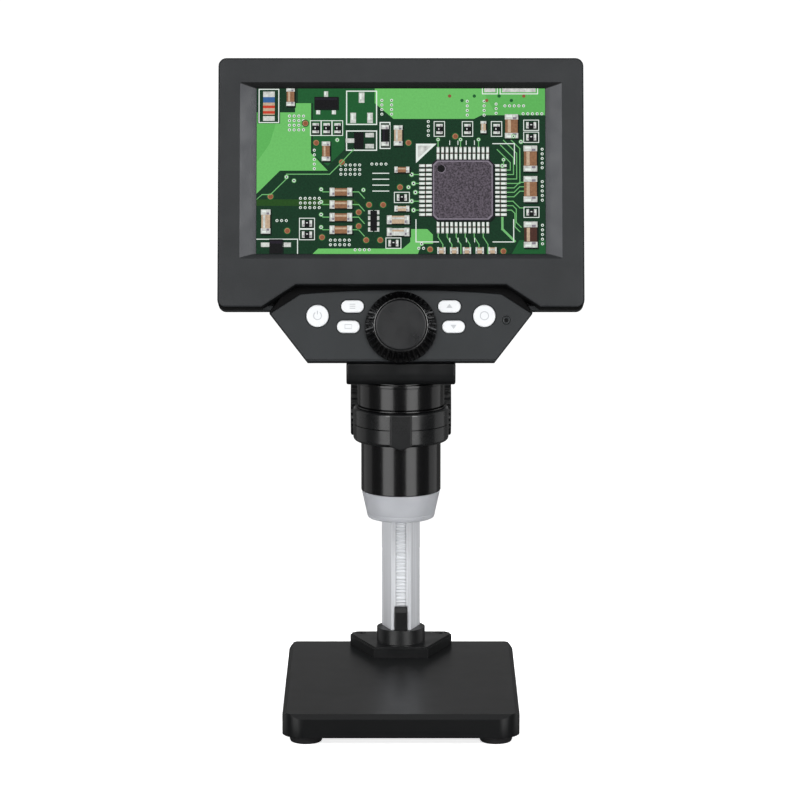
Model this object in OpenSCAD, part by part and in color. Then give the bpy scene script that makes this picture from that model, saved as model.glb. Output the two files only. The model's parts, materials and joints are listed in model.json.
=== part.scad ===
// Digital microscope with a tilted screen head on a rack column.
// Millimetres. Z is up, X to the right and the screen faces -Y.
// The origin is on the floor, at the centre of the base.

/* [Base] */
// Width of the base
base_w = 125; // [118:1:140]
// Depth of the base
base_d = 165; // [155:1:185]
// Height of the base moulding above its feet
base_h = 12.5; // [11:0.5:18]
// Corner radius of the base
base_r = 11; // [6:0.5:14]
// Chamfer round the top edge of the base
base_chamfer = 2.4; // [1:0.2:3]
// Wall thickness of the base moulding
base_wall = 2.6; // [2:0.1:3.5]
// Thickness of the bottom cover
cover_t = 2; // [1.8:0.1:3]
// Thickness of the steel weight
weight_t = 5; // [3:0.5:6]
// Height of a rubber foot
foot_h = 4.5; // [3:0.5:8]
// Diameter of a rubber foot
foot_d = 17.5; // [12:0.5:19]
// Distance of a foot's centre in from the sides, front and back of the base
foot_inset = 12.5; // [11.5:0.5:15]
// Distance of a base screw in from the sides of the base
base_screw_inset = 16.5; // [14:0.5:20]
// Distance of a base screw in from the front and back of the base
base_screw_inset_y = 30; // [27:0.5:34]
// Radius of a base screw's shank
base_screw_r = 1.5; // [1.2:0.1:2]

/* [Column foot] */
// Distance of the column's axis in from the back of the base
column_inset = 23.8; // [22:0.2:30]
// Half width of the foot plate at the back
plate_half_w = 28.3; // [24:0.1:32]
// Half width of the foot plate at the front
plate_front_half_w = 15; // [14:0.5:18]
// Reach of the foot plate behind the column's axis
plate_back = 21.3; // [20.5:0.1:21.8]
// Reach of the foot plate in front of the column's axis
plate_front = 17.7; // [15:0.1:20]
// Clipped corner of the foot plate
plate_clip = 3.4; // [2:0.2:5]
// Thickness of the foot plate
plate_t = 6; // [5:0.5:8]
// Step round the foot plate's top edge
plate_step = 0.9; // [0.5:0.1:1.5]
// Diameter of the collar round the column
collar_d = 26.7; // [26:0.1:30]
// Height of the collar above the foot plate
collar_h = 8; // [6:0.5:12]
// Thickness of the floor under the column
socket_floor = 2; // [1.5:0.5:3]
// Sideways distance of a foot screw from the column's axis
foot_screw_x = 22.3; // [20:0.1:24]
// Distance of a foot screw behind the column's axis
foot_screw_y = 17; // [16.5:0.1:17.5]
// Radius of a foot screw's shank
foot_screw_r = 1.7; // [1.4:0.1:2]
// Width of the locking key
key_w = 7.2; // [6.6:0.1:8]
// Height of the locking key above the foot plate
key_h = 20.5; // [14:0.5:26]

/* [Column] */
// Height of the column's top above the floor
column_top = 210; // [208:1:240]
// Width of the column
column_w = 21.3; // [20.5:0.1:21.5]
// Width of the column's front face
column_front_w = 10.9; // [10:0.1:12]
// Distance of the front face from the axis
column_front = 9.2; // [8.8:0.1:10]
// Distance of the back face from the axis
column_back = 8.6; // [8:0.1:9]
// Distance of the widest corners behind the axis
column_corner = 4.5; // [3:0.1:5]
// Width of the back face
column_back_w = 16; // [14:0.1:17]
// Diameter of the bore down the column
column_bore_d = 10; // [7:0.5:10.5]
// Width of the rack
rack_w = 5.3; // [4.9:0.1:6]
// Thickness of the rack behind its tooth roots
rack_back = 1.6; // [1:0.1:2]
// Depth of the tooth tips below the column's front face
rack_recess = 0.4; // [0.2:0.1:0.8]
// Thickness of the cap on the column
cap_t = 3; // [2:0.5:5]
// Overhang of the cap round the column
cap_lip = 1; // [0.5:0.1:1.5]

/* [Carriage] */
// Height of the knob shaft above the floor
carriage_z = 157; // [152:1:165]
// Half width of the sleeve
sleeve_half_w = 18; // [17.2:0.1:18.4]
// Reach of the sleeve above the knob shaft
sleeve_up = 14; // [12:0.5:15]
// Reach of the sleeve below the knob shaft
sleeve_down = 13.5; // [12:0.5:15]
// Distance of the sleeve's back from the column's axis
sleeve_back = 11.3; // [11:0.1:13]
// Distance of the sleeve's front from the column's axis
sleeve_front = 24.2; // [23:0.1:25]
// Thickness of the sleeve's back wall, behind the friction pad
sleeve_wall = 3; // [2.4:0.1:4]
// Width of the friction pad
pad_w = 8; // [6:0.5:9]
// Height of the friction pad
pad_h = 12; // [8:0.5:14]
// Sideways distance of a carriage screw from the centre
carriage_screw_x = 14.2; // [13.9:0.1:14.6]
// Distance of the upper carriage screws above the knob shaft
carriage_screw_up = 4.8; // [4.7:0.1:4.9]
// Distance of the lower carriage screws below the knob shaft
carriage_screw_down = 7.2; // [6:0.1:8]
// Radius of a carriage screw's shank
carriage_screw_r = 1.2; // [1:0.05:1.25]

/* [Height drive] */
// Module of the gear teeth
tooth_module = 0.6; // [0.55:0.01:0.62]
// Number of teeth of the height pinion
height_teeth = 16; // [15:1:16]
// Width of the height pinion
height_pinion_w = 4.6; // [3.6:0.1:4.7]
// Diameter of the knob shaft
shaft_d = 4.6; // [3.6:0.1:5]
// Diameter of a shaft bush
bush_d = 6.6; // [6.2:0.1:6.8]
// Length of a shaft bush
bush_l = 6; // [4:0.5:8]
// Diameter of a height knob
knob_d = 30; // [24:0.5:31]
// Thickness of a height knob's rim
knob_t = 5.2; // [4:0.1:6]
// Distance of a height knob's outer face from the centre
knob_x = 27.4; // [27:0.1:30]
// Number of ridges round a height knob
knob_ridges = 28; // [24:1:32]
// Depth of the grooves between the ridges
knob_groove = 0.9; // [0.5:0.1:1.2]
// Diameter of a height knob's hub
hub_d = 13; // [11:0.5:16]

/* [Holder ring] */
// Distance of the barrel's axis in front of the column's axis
barrel_reach = 43.7; // [43.4:0.1:46]
// Outer diameter of the holder ring
ring_d = 51.5; // [51:0.1:52]
// Height of the ring's top above the knob shaft
ring_up = 6.7; // [6.5:0.1:8]
// Depth of the ring's bottom below the knob shaft
ring_down = 11.7; // [10:0.1:13]
// Depth of the seam between the ring halves below the knob shaft
ring_seam = 2.5; // [1:0.1:4]
// Width of the seam
seam_gap = 0.2; // [0.1:0.05:0.3]
// Chamfer at the ring's top and bottom
ring_chamfer = 2; // [1:0.1:2]
// Width of the front tab
tab_w = 11.9; // [9:0.1:14]
// How far the tab stands out in front of the ring
tab_out = 1.5; // [1:0.1:3]
// How far the tab reaches below the ring
tab_drop = 1; // [0.5:0.1:2]

/* [Barrel] */
// Diameter of the lower barrel
barrel_d = 43; // [42:0.1:43.4]
// Diameter of the upper barrel
collar_top_d = 47; // [46.4:0.1:48]
// Wall thickness of the barrel
barrel_wall = 2; // [1.6:0.1:2.4]
// Thickness of the flange on the barrel bush
bush_flange_t = 0.65; // [0.5:0.05:0.8]
// Height of the upper barrel below its flange
upper_h = 12.1; // [10:0.1:14]
// Diameter of the flange on the upper barrel
flange_d = 48.9; // [48.2:0.1:52]
// Thickness of the flange on the upper barrel
flange_t = 1.6; // [1:0.1:3]
// Gap between the flange and the neck block
flange_gap = 0.8; // [0.5:0.1:2]
// Length of the lower barrel below the upper barrel
lower_h = 47.2; // [44:0.1:50]
// Overlap of the lower barrel inside the upper barrel
barrel_overlap = 5; // [4:0.5:6]
// Height of the spigot that enters the neck block
spigot_h = 4; // [3.5:0.5:6]
// Height of the LED cap
led_cap_h = 15.2; // [13:0.1:18]
// Diameter of the LED cap at its top
led_cap_d = 42.2; // [41:0.1:42.8]
// Diameter of the LED cap at its bottom
led_cap_bottom_d = 36.5; // [34:0.1:38]
// Wall thickness of the LED cap
led_cap_wall = 1.6; // [1.2:0.1:2]
// Diameter of the hole in the LED cap
led_hole_d = 18; // [14:0.5:20]
// Height of the LED cap's spigot inside the barrel
led_spigot_h = 3.3; // [3:0.1:5]
// Number of LEDs
led_count = 8; // [6:1:10]
// Diameter of the circle of LEDs
led_circle_d = 27; // [24:0.5:28]
// Size of an LED
led_size = 2.8; // [2:0.1:3]

/* [Head] */
// Backward tilt of the screen
head_tilt = 17.2; // [16.4:0.1:18]
// Room beside the LCD panel to the head's side faces
side_room = 15; // [13.5:0.1:17]
// Reach of the head above the screen's centre
head_up = 60.9; // [59:0.1:66]
// Reach of the bezel below the screen's centre
head_down = 73.9; // [72:0.1:76]
// Corner radius of the head
head_r = 4.3; // [3:0.1:6]
// Chamfer round the bezel's front edge
bezel_chamfer = 1.4; // [0.6:0.1:2]
// Thickness of the bezel in front of the screen
bezel_t = 3; // [2.5:0.1:3.4]
// Depth of the bezel behind the screen's face
bezel_depth = 6; // [5.8:0.1:6.5]
// Depth of the whole case behind the screen's face
case_depth = 15; // [14.8:0.1:16]
// Wall thickness of the case
case_wall = 2; // [1.6:0.1:2.2]
// Distance of the screen's centre in front of the barrel's axis
screen_forward = 6.6; // [6:0.1:7]
// Height of the screen's centre above the knob shaft
screen_up = 135.2; // [135:0.1:137]
// Half width of the bezel's notch at its bottom
notch_bottom = 74; // [73:0.1:78]
// Half width of the bezel's notch at its top
notch_top = 55.9; // [54:0.1:58]
// Height of the bezel's notch
notch_h = 12; // [11:0.1:13]
// Distance of a corner case screw from the head's nearest faces
case_screw_inset = 7; // [6.6:0.1:7.5]
// Radius of a case screw's shank
case_screw_r = 1.3; // [1:0.1:1.5]

/* [Screen] */
// Border of the LCD panel beside the visible picture
border_side = 5.5; // [4.5:0.1:7.5]
// Border of the LCD panel above and below the visible picture
border_top = 5.3; // [4.5:0.1:8]
// Sideways slope of the window round the picture
window_side = 8.8; // [5:0.1:9.5]
// Slope of the window above and below the picture
window_top = 2.8; // [1:0.1:3.5]
// Width of the LCD panel
lcd_w = 165; // [160:0.5:168]
// Height of the LCD panel
lcd_h = 100; // [96:0.5:101]
// Thickness of the LCD panel's glass
lcd_t = 1.6; // [1:0.1:2]
// Thickness of the backlight unit
backlight_t = 3.8; // [3:0.1:4.2]

/* [Control panel] */
// Distance of the panel's bottom edge below the screen's centre
panel_bottom = 101.4; // [100.6:0.1:102.2]
// Half width of the panel's bottom edge
panel_bottom_w = 49.8; // [47:0.1:54]
// Half width of the panel at its widest
panel_side_w = 70.2; // [69:0.1:72]
// Distance of the panel's widest corners below the screen's centre
panel_side = 75; // [74:0.1:76]
// Thickness of the panel
panel_t = 2; // [1.8:0.1:2.2]
// Height of the panel's side walls behind its face
panel_skirt = 3; // [2.6:0.1:3.4]
// Width of the panel's sunken border beside the bezel's notch
panel_border = 4.2; // [3:0.1:5]
// Depth of the panel's sunken border
panel_sink = 1.2; // [0.6:0.1:1.4]
// Rise of the raised face's top edge in its middle
panel_arch = 2.4; // [1:0.1:3]
// How far the panel reaches up behind the bezel above the notch
panel_tuck = 4; // [3:0.1:5]

/* [Focus dial] */
// Distance of the dial's axis below the screen's centre
dial_down = 83.3; // [82.8:0.1:83.6]
// Diameter of the dial at its base
dial_d = 38.2; // [34:0.1:38.4]
// Diameter of the dial's front
dial_front_d = 28.7; // [24:0.1:31]
// Height of the dial
dial_h = 9.9; // [7:0.1:12]
// Number of ridges round the dial
dial_ridges = 36; // [30:1:42]
// Depth of the grooves between the dial's ridges
dial_groove = 1; // [0.5:0.1:1.5]
// Height of the dial's straight foot
dial_foot = 2.6; // [1.5:0.1:3]
// Diameter of the disc set in the dial's front
disc_d = 25.5; // [20:0.1:26.5]
// Thickness of the disc
disc_t = 1; // [0.6:0.1:1.4]
// Diameter of the dial's shaft
dial_shaft_d = 4.8; // [4:0.1:5]
// Diameter of the dial's bush
dial_bush_d = 9; // [8:0.1:10]
// Number of teeth of the focus pinion
focus_teeth = 12; // [12:1:13]
// Width of the focus pinion
focus_pinion_w = 6; // [5:0.1:6.6]
// Distance of the focus pinion's middle behind the screen's face
focus_pinion_back = 22; // [21.6:0.1:22.4]
// Thickness of the shaft bracket
bracket_t = 2; // [1.5:0.1:2.4]

/* [Buttons] */
// Diameter of a round button
button_d = 12; // [10:0.1:12.2]
// Width of an oval button
oval_w = 12.3; // [10:0.1:12.6]
// Height of an oval button
oval_h = 6.75; // [5.5:0.05:7]
// How far a button stands out of the panel
button_out = 1.2; // [0.8:0.1:2]
// Travel of a button
button_travel = 0.6; // [0.4:0.1:0.7]
// Sideways distance of the round buttons from the centre
round_x = 44.4; // [44:0.1:45]
// Distance of the round buttons below the screen's centre
round_down = 77.2; // [76.8:0.1:77.6]
// Sideways distance of the upper oval buttons from the centre
upper_x = 25.8; // [25.6:0.1:26.2]
// Distance of the upper oval buttons below the screen's centre
upper_down = 72.1; // [71.8:0.1:72.3]
// Sideways distance of the lower oval buttons from the centre
lower_x = 28; // [27.8:0.1:28.2]
// Distance of the lower oval buttons below the screen's centre
lower_down = 83; // [82.8:0.1:83.4]
// Sideways distance of the indicator from the centre
indicator_x = 56.1; // [55:0.1:57]
// Distance of the indicator below the screen's centre
indicator_down = 79.4; // [79:0.1:80]
// Diameter of the indicator ring
indicator_d = 4.3; // [3.5:0.1:5]

/* [Neck block] */
// Width of the neck block
neck_w = 58.3; // [55:0.1:62]
// Height of the neck block's straight back
neck_back_h = 38.5; // [34:0.5:40]
// Reach of the neck block behind the barrel's axis
neck_back = 25; // [24:0.1:25.4]
// Reach of the neck block in front of the barrel's axis
neck_front = 27; // [26:0.1:28]
// Chamfer under the neck block's front
neck_round = 2; // [1.5:0.1:4]
// Wall thickness of the neck block
neck_wall = 2.4; // [2:0.1:2.8]
// Height on the case's back, below the screen's centre, where the neck block ends
neck_top = 40; // [39:0.5:42]
// Sideways distance of a neck screw from the centre
neck_screw_x = 23; // [22:0.1:23.2]
// Radius of a neck screw's shank
neck_screw_r = 1.2; // [1:0.05:1.3]

/* [Lens and electronics] */
// Height of the lens carrier
carrier_h = 20; // [16:0.5:22]
// Diameter of the lens carrier's bore
carrier_bore_d = 20; // [16:0.5:22]
// Distance of the lens carrier's bottom above the LED cap's bottom
carrier_up = 37; // [35:0.5:39]
// Diameter of the objective lens
lens_d = 22; // [18:0.5:24]
// Thickness of the objective lens at its middle
lens_t = 6; // [4:0.5:7]
// Width of the lens rack's rod
rod_w = 4; // [3:0.1:4.4]
// Thickness of the lens rack's rod behind its tooth roots
rod_t = 3.2; // [2.5:0.1:4]
// Diameter of the battery
battery_d = 18.4; // [17:0.1:19]
// Length of the battery
battery_l = 65; // [60:0.5:68]
// Distance of the battery below the screen's centre
battery_down = 25; // [24.6:0.1:25.4]
// Thickness of the circuit boards
board_t = 1.6; // [1:0.1:1.7]
// Half width of the sensor board
sensor_half_w = 15; // [14:0.5:16]
// Size of the image sensor
sensor_size = 9; // [6:0.5:10]

/* [Fits] */
// Clearance between seated round parts
fit = 0.02; // [0.01:0.01:0.05]
// Radial clearance of a turning or sliding fit
run = 0.05; // [0.03:0.01:0.08]
// Gap between parts that move past each other
gap = 0.3; // [0.2:0.05:0.35]

/* [Hidden] */
$fn = 64;
eps = 0.01;

// Colours
black = "#26282a";
satin_black = "#1b1c1e";
charcoal = "#3d3f42";
silver = "#c4c6c8";
steel = "#a9acaf";
white = "#f2f3f4";
frost = "#e2e6e8";
board_green = "#1d6b3a";

// Heights and places of the stand
base_top = foot_h + base_h;
cover_top = foot_h + cover_t;
cavity_top = base_top - base_wall;
column_y = base_d / 2 - column_inset;
plate_top = base_top + plate_t;
collar_top = plate_top + collar_h;
column_bottom = base_top + socket_floor;
key_top = plate_top + key_h;
key_out = 1.5;
foot_places = [for (sx = [-1, 1]) for (sy = [-1, 1])
  [sx * (base_w / 2 - foot_inset), sy * (base_d / 2 - foot_inset)]];
base_screw_places = [for (sx = [-1, 1]) for (sy = [-1, 1])
  [sx * (base_w / 2 - base_screw_inset), sy * (base_d / 2 - base_screw_inset_y)]];
base_boss_r = base_screw_r + 2.4;
base_head_r = base_screw_r + 1.6;
base_head_t = 1.4;
foot_boss_r = foot_screw_r + 1.5;
foot_head_r = foot_screw_r + 1.5;
foot_head_t = 1.6;
foot_screw_tip = 1.2;
weight_back = column_y + foot_screw_y - foot_boss_r - 1;
weight_room = 2;

// Gear teeth: circular pitch, tooth height and width, shared by racks and pinions
pitch = tooth_module * PI;
addendum = 0.8 * tooth_module;
dedendum = 1.1 * tooth_module;
flank = tan(20);
half_tooth = 0.21 * pitch;

// Height drive
height_r = tooth_module * height_teeth / 2;
rack_front_y = column_y - column_front + rack_recess;
rack_pitch_y = rack_front_y + addendum;
rack_back_y = rack_pitch_y + dedendum + rack_back;
shaft_y = rack_pitch_y - height_r;
rack_bottom = key_top + 1;
rack_top = column_top - 3;
channel_w = rack_w + 0.2;
key_slot_w = key_w + 0.1;

// Carriage
sleeve_top = carriage_z + sleeve_up;
sleeve_bottom = carriage_z - sleeve_down;
sleeve_back_y = column_y + sleeve_back;
sleeve_end_y = sleeve_back_y + sleeve_wall;
sleeve_front_y = column_y - sleeve_front;
pinion_pocket_r = height_r + addendum + gap + 0.1;
pinion_pocket_w = height_pinion_w + 1;
knob_floor = 1.5;
knob_dish = 0.6;
carriage_head_r = carriage_screw_r + 1.2;
carriage_head_t = 1.5;
barrel_y = column_y - barrel_reach;
ring_r = ring_d / 2;
ring_top = carriage_z + ring_up;
ring_bottom = carriage_z - ring_down;
seam_z = carriage_z - ring_seam;

// Barrel
barrel_r = barrel_d / 2;
bush_bore_r = barrel_r + run;
bush_r = bush_bore_r + 1.45;
ring_bore_r = bush_r + run;
bush_flange_r = bush_r + 1.3;
bush_flange_bottom = ring_top + gap;
shoulder_z = bush_flange_bottom + bush_flange_t + gap;
flange_z = shoulder_z + upper_h;
neck_z = flange_z + flange_t + flange_gap;
spigot_top = neck_z + spigot_h;
lower_bottom = shoulder_z - lower_h;
barrel_bore_r = barrel_r - barrel_wall;
led_bottom = lower_bottom - led_cap_h;
led_spigot_top = lower_bottom + led_spigot_h;

// Head: the screen's centre, and its frame's axes
screen_y = barrel_y - screen_forward;
screen_z = carriage_z + screen_up;
tilt_s = sin(head_tilt);
tilt_c = cos(head_tilt);
// Place in the row frame of a point that lies back behind the screen's face and up from its centre
function head_point(back, up) =
  [screen_y + up * tilt_s + back * tilt_c, screen_z + up * tilt_c - back * tilt_s];
head_w = lcd_w + 2 * side_room;
head_h = head_up + head_down;
head_mid = (head_up - head_down) / 2;
picture_w = lcd_w - 2 * border_side;
picture_h = lcd_h - 2 * border_top;
window_w = picture_w + 2 * window_side;
window_h = picture_h + 2 * window_top;
notch_up = head_down - notch_h;
panel_front = bezel_depth;
panel_back = panel_front + panel_t;
panel_rim = panel_front + panel_skirt;
case_inner = case_depth - case_wall;
case_screw_x = head_w / 2 - case_screw_inset;
middle_screw_down = 10;
case_screw_heights = [head_up - case_screw_inset, -middle_screw_down, case_screw_inset - head_down];
case_screw_places = [for (sx = [-1, 1]) for (z = case_screw_heights) [sx * case_screw_x, z]];
case_boss_r = case_screw_r + 1.8;
case_head_r = case_screw_r + 1.4;
case_head_t = 1.5;
stand_off_h = 3;
stand_off_inset = 6;
board_front = case_inner - stand_off_h - board_t;
board_left = -58;
board_right = case_screw_x - 5;
board_low = -8;
board_high = lcd_h / 2;
port_x = head_w / 2 - 0.3;
usb_up = 20;
usb_size = [7.3, 3, 9];
card_up = 36;
card_size = [14, 1.7, 13];
stand_off_r = 3;
button_board_low = 6;
button_board_side = 4;

// Control panel, dial and buttons
panel_top = notch_up - panel_tuck;
button_board_front = case_inner - board_t;
switch_t = 1.4;
switch_front = button_board_front - switch_t;
button_flange_front = panel_back + gap;
button_flange_t = 0.8;
button_stem_end = switch_front - button_travel - 0.1;
button_flange_w = 0.8;
dial_back = panel_front - gap;
dial_front = dial_back - dial_h;
dial_shaft_r = dial_shaft_d / 2;
focus_r = tooth_module * focus_teeth / 2;
bracket_front = focus_pinion_back + focus_pinion_w / 2 + 1;
bracket_half_h = 6;
bracket_half_w = 12;
bracket_leg = 2;
shaft_end = bracket_front + bracket_t;
opening_half_w = 16;
opening_low = -panel_bottom + 5.5;
opening_high = -58;
button_gap = 0.3;
indicator_hole_r = 0.8;

// Neck block, lens and sensor
neck_half_w = neck_w / 2;
hump_half_h = battery_d / 2 + 0.4 + case_wall;
hump_back = case_inner - 6.6 + battery_d + case_wall + 0.5;
battery_back = hump_back - case_wall - 0.4 - battery_d / 2;
focus_at = head_point(focus_pinion_back, -dial_down);
carrier_bottom = led_bottom + carrier_up;
carrier_top = carrier_bottom + carrier_h;
carrier_r = barrel_bore_r - run;
lens_seat = lens_t / 2 + 2;
lens_rise = 1.2;
focus_travel = 10;
rod_y = focus_at[0];
rod_top = focus_at[1] + focus_travel + 2.5;
sensor_front_y = rod_y + rod_w / 2 + 2.5;
neck_screw_low = 12;
neck_screw_up = 6;
neck_screw_heights = [-neck_top - neck_screw_low, -panel_bottom + neck_screw_up];
neck_screw_places = [for (sx = [-1, 1]) for (z = neck_screw_heights) [sx * neck_screw_x, z]];
neck_head_r = neck_screw_r + 1.4;
neck_head_t = 1.6;
neck_boss_r = neck_screw_r + 2;
neck_boss_l = 7;

// Outward normal of the edge from a to b of an anticlockwise outline
function edge_normal(a, b) = let (d = b - a) [d[1], -d[0]] / norm(d);
// Anticlockwise outline with every edge moved outward by g
function grow(pts, g) = [for (i = [0 : len(pts) - 1])
  let (p = pts[i],
       n1 = edge_normal(pts[(i + len(pts) - 1) % len(pts)], p),
       n2 = edge_normal(p, pts[(i + 1) % len(pts)]))
  p + g * (n1 + n2) / (1 + n1 * n2)];

// Outline of the column, round its axis
column_pts = [
  [-column_front_w / 2, -column_front], [column_front_w / 2, -column_front],
  [column_w / 2, column_corner], [column_back_w / 2, column_back],
  [-column_back_w / 2, column_back], [-column_w / 2, column_corner]
];
// Outline of the foot plate, round the column's axis
plate_pts = [
  [-plate_front_half_w, -plate_front], [plate_front_half_w, -plate_front],
  [plate_half_w, plate_back - 2 * plate_clip], [plate_half_w, plate_back - plate_clip],
  [plate_half_w - plate_clip, plate_back], [-plate_half_w + plate_clip, plate_back],
  [-plate_half_w, plate_back - plate_clip], [-plate_half_w, plate_back - 2 * plate_clip]
];
// Outline of the control panel, round the screen's centre
panel_pts = [
  [-panel_bottom_w, -panel_bottom], [panel_bottom_w, -panel_bottom],
  [panel_side_w, -panel_side], [notch_top + 2, -panel_top], [-notch_top - 2, -panel_top],
  [-panel_side_w, -panel_side]
];
// Outline of the panel's raised face, open past the panel's sides, below the bezel's notch
notch_slope = norm([notch_bottom - notch_top, notch_h]);
border_x = panel_border * notch_h / notch_slope;
border_down = panel_border * (notch_bottom - notch_top) / notch_slope;
face_x = notch_top - border_x;
face_up = -notch_up - border_down;
arch_steps = 12;
face_pts = [
  [border_x - notch_bottom, -panel_bottom - 1], [notch_bottom - border_x, -panel_bottom - 1],
  [notch_bottom - border_x, -head_down - border_down],
  for (i = [0 : arch_steps])
    let (t = 1 - 2 * i / arch_steps) [t * face_x, face_up + panel_arch * (1 - t * t)],
  [border_x - notch_bottom, -head_down - border_down]
];
// Outline of the bezel's notch, grown by g
function notch_pts(g) = [
  [-notch_bottom - g, -head_down - 1], [notch_bottom + g, -head_down - 1],
  [notch_bottom + g, -head_down], [notch_top + g, -notch_up + g],
  [-notch_top - g, -notch_up + g], [-notch_bottom - g, -head_down]
];
// Side view of the neck block: Y and Z
neck_low_back = head_point(case_depth, -panel_bottom - fit);
neck_high_back = head_point(case_depth, -neck_top);
neck_front_y = barrel_y - neck_front;
neck_back_y = barrel_y + neck_back;
neck_shelf = (neck_low_back[0] - neck_front_y) * tilt_s / tilt_c;
neck_pts = [
  [neck_front_y + neck_round, neck_z], [neck_back_y - neck_round, neck_z],
  [neck_back_y, neck_z + neck_round], [neck_back_y, neck_z + neck_round + neck_back_h],
  neck_high_back, neck_low_back,
  [neck_front_y, neck_low_back[1] + neck_shelf], [neck_front_y, neck_z + neck_round]
];

// Gear outline with its first tooth towards +X
function gear_pts(teeth, r) = [for (i = [0 : teeth - 1])
  for (c = [[-1, -1], [-1, 1], [1, 1], [1, -1]])
    let (rr = c[1] > 0 ? r + addendum : r - dedendum,
         half = half_tooth - (rr - r) * flank,
         a = 360 * i / teeth + c[0] * half / rr * 180 / PI)
    rr * [cos(a), sin(a)]];
// Rack tooth, pointing towards -X from a pitch line at x = 0
tooth_pts = [
  [-addendum, -half_tooth + addendum * flank], [dedendum + eps, -half_tooth - dedendum * flank],
  [dedendum + eps, half_tooth + dedendum * flank], [-addendum, half_tooth - addendum * flank]
];
// Ridged outline: n ridges of height h on radius r
function ridge_pts(n, r, h) = [for (i = [0 : n - 1])
  for (c = [[-0.3, 0], [-0.12, 1], [0.12, 1], [0.3, 0]])
    let (a = 360 * (i + c[0]) / n) (r - h + c[1] * h) * [cos(a), sin(a)]];

module head_frame() {
  translate([0, screen_y, screen_z]) rotate([-head_tilt, 0, 0]) children();
}
// Outline in the head's frame, made solid from y0 to y1 behind the screen's face
module slab(y0, y1) {
  translate([0, y1, 0]) rotate([90, 0, 0]) linear_extrude(y1 - y0) children();
}
// Side view outline, made solid from x0 to x1
module across(x0, x1) {
  translate([x0, 0, 0]) rotate([90, 0, 90]) linear_extrude(x1 - x0) children();
}
module rod_along_x(r, x0, x1) {
  translate([x0, 0, 0]) rotate([0, 90, 0]) cylinder(r = r, h = x1 - x0);
}
module rod_along_y(r, y0, y1) {
  translate([0, y1, 0]) rotate([90, 0, 0]) cylinder(r = r, h = y1 - y0);
}
module rounded(w, h, r) {
  square([w - 2 * r, h], center = true);
  square([w, h - 2 * r], center = true);
  for (sx = [-1, 1]) for (sy = [-1, 1])
    translate([sx * (w / 2 - r), sy * (h / 2 - r)]) circle(r);
}
module oval(w, h) {
  square([w - h, h], center = true);
  for (sx = [-1, 1]) translate([sx * (w - h) / 2, 0]) circle(h / 2);
}
// Ring round the Z axis
module tube(r_out, r_in, z0, z1) {
  translate([0, 0, z0]) difference() {
    cylinder(r = r_out, h = z1 - z0);
    translate([0, 0, -eps]) cylinder(r = r_in, h = z1 - z0 + 2 * eps);
  }
}
module at_barrel() { translate([0, barrel_y, 0]) children(); }
module at_column() { translate([0, column_y, 0]) children(); }
module at_shaft() { translate([0, shaft_y, carriage_z]) children(); }

// ---- Stand ----

// Side outline of a block of width w and height h with its top edges chamfered by c
function chamfered_pts(w, h, c) = [
  [-w / 2, -1], [w / 2, -1], [w / 2, h - c], [w / 2 - c, h], [-w / 2 + c, h], [-w / 2, h - c]
];
// Block with rounded upright corners and a chamfer round its top
module base_block(w, d, h, r, c) {
  intersection() {
    linear_extrude(h) rounded(w, d, r);
    across(-w, w) polygon(chamfered_pts(d, h, c));
    rotate([0, 0, 90]) across(-d, d) polygon(chamfered_pts(w, h, c));
  }
}

module base_plate() {
  color(black) difference() {
    union() {
      difference() {
        translate([0, 0, foot_h]) base_block(base_w, base_d, base_h, base_r, base_chamfer);
        translate([0, 0, foot_h - eps])
          linear_extrude(cavity_top - foot_h)
            rounded(base_w - 2 * base_wall, base_d - 2 * base_wall, base_r - base_wall);
      }
      for (p = base_screw_places)
        translate([p[0], p[1], cover_top]) cylinder(r = base_boss_r, h = cavity_top - cover_top + eps);
      for (sx = [-1, 1])
        translate([sx * foot_screw_x, column_y + foot_screw_y, cover_top])
          cylinder(r = foot_boss_r, h = cavity_top - cover_top + eps);
    }
    for (p = base_screw_places)
      translate([p[0], p[1], cover_top - eps])
        cylinder(r = base_screw_r + fit, h = cavity_top - cover_top);
    for (sx = [-1, 1])
      translate([sx * foot_screw_x, column_y + foot_screw_y, cover_top + 1])
        cylinder(r = foot_screw_r + fit, h = base_h);
  }
}

module base_weight() {
  front = -base_d / 2 + base_wall + weight_room;
  color(steel) difference() {
    translate([0, (weight_back + front) / 2, cover_top])
      linear_extrude(weight_t)
        rounded(base_w - 2 * (base_wall + weight_room), weight_back - front, base_r - base_wall);
    for (p = base_screw_places)
      translate([p[0], p[1], 0]) cylinder(r = base_boss_r + gap, h = base_top);
  }
}

module base_cover() {
  color(satin_black) difference() {
    translate([0, 0, foot_h])
      linear_extrude(cover_t)
        rounded(base_w - 2 * base_wall - 0.2, base_d - 2 * base_wall - 0.2, base_r - base_wall - 0.1);
    for (p = base_screw_places) translate([p[0], p[1], 0]) {
      cylinder(r = base_screw_r + fit, h = base_top);
      cylinder(r = base_head_r + fit, h = foot_h + base_head_t);
    }
  }
}

module rubber_feet() {
  bevel = 0.6;
  color(satin_black) for (p = foot_places) translate(p) {
    cylinder(r1 = foot_d / 2 - bevel, r2 = foot_d / 2, h = bevel);
    translate([0, 0, bevel]) cylinder(d = foot_d, h = foot_h - bevel);
  }
}

module base_screws() {
  color(steel) for (p = base_screw_places) translate([p[0], p[1], foot_h]) {
    difference() {
      cylinder(r = base_head_r, h = base_head_t);
      cylinder(r = base_screw_r * 0.7, h = 0.7, $fn = 6);
    }
    translate([0, 0, base_head_t])
      cylinder(r = base_screw_r, h = cavity_top - foot_h - base_head_t - 1);
  }
}

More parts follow.
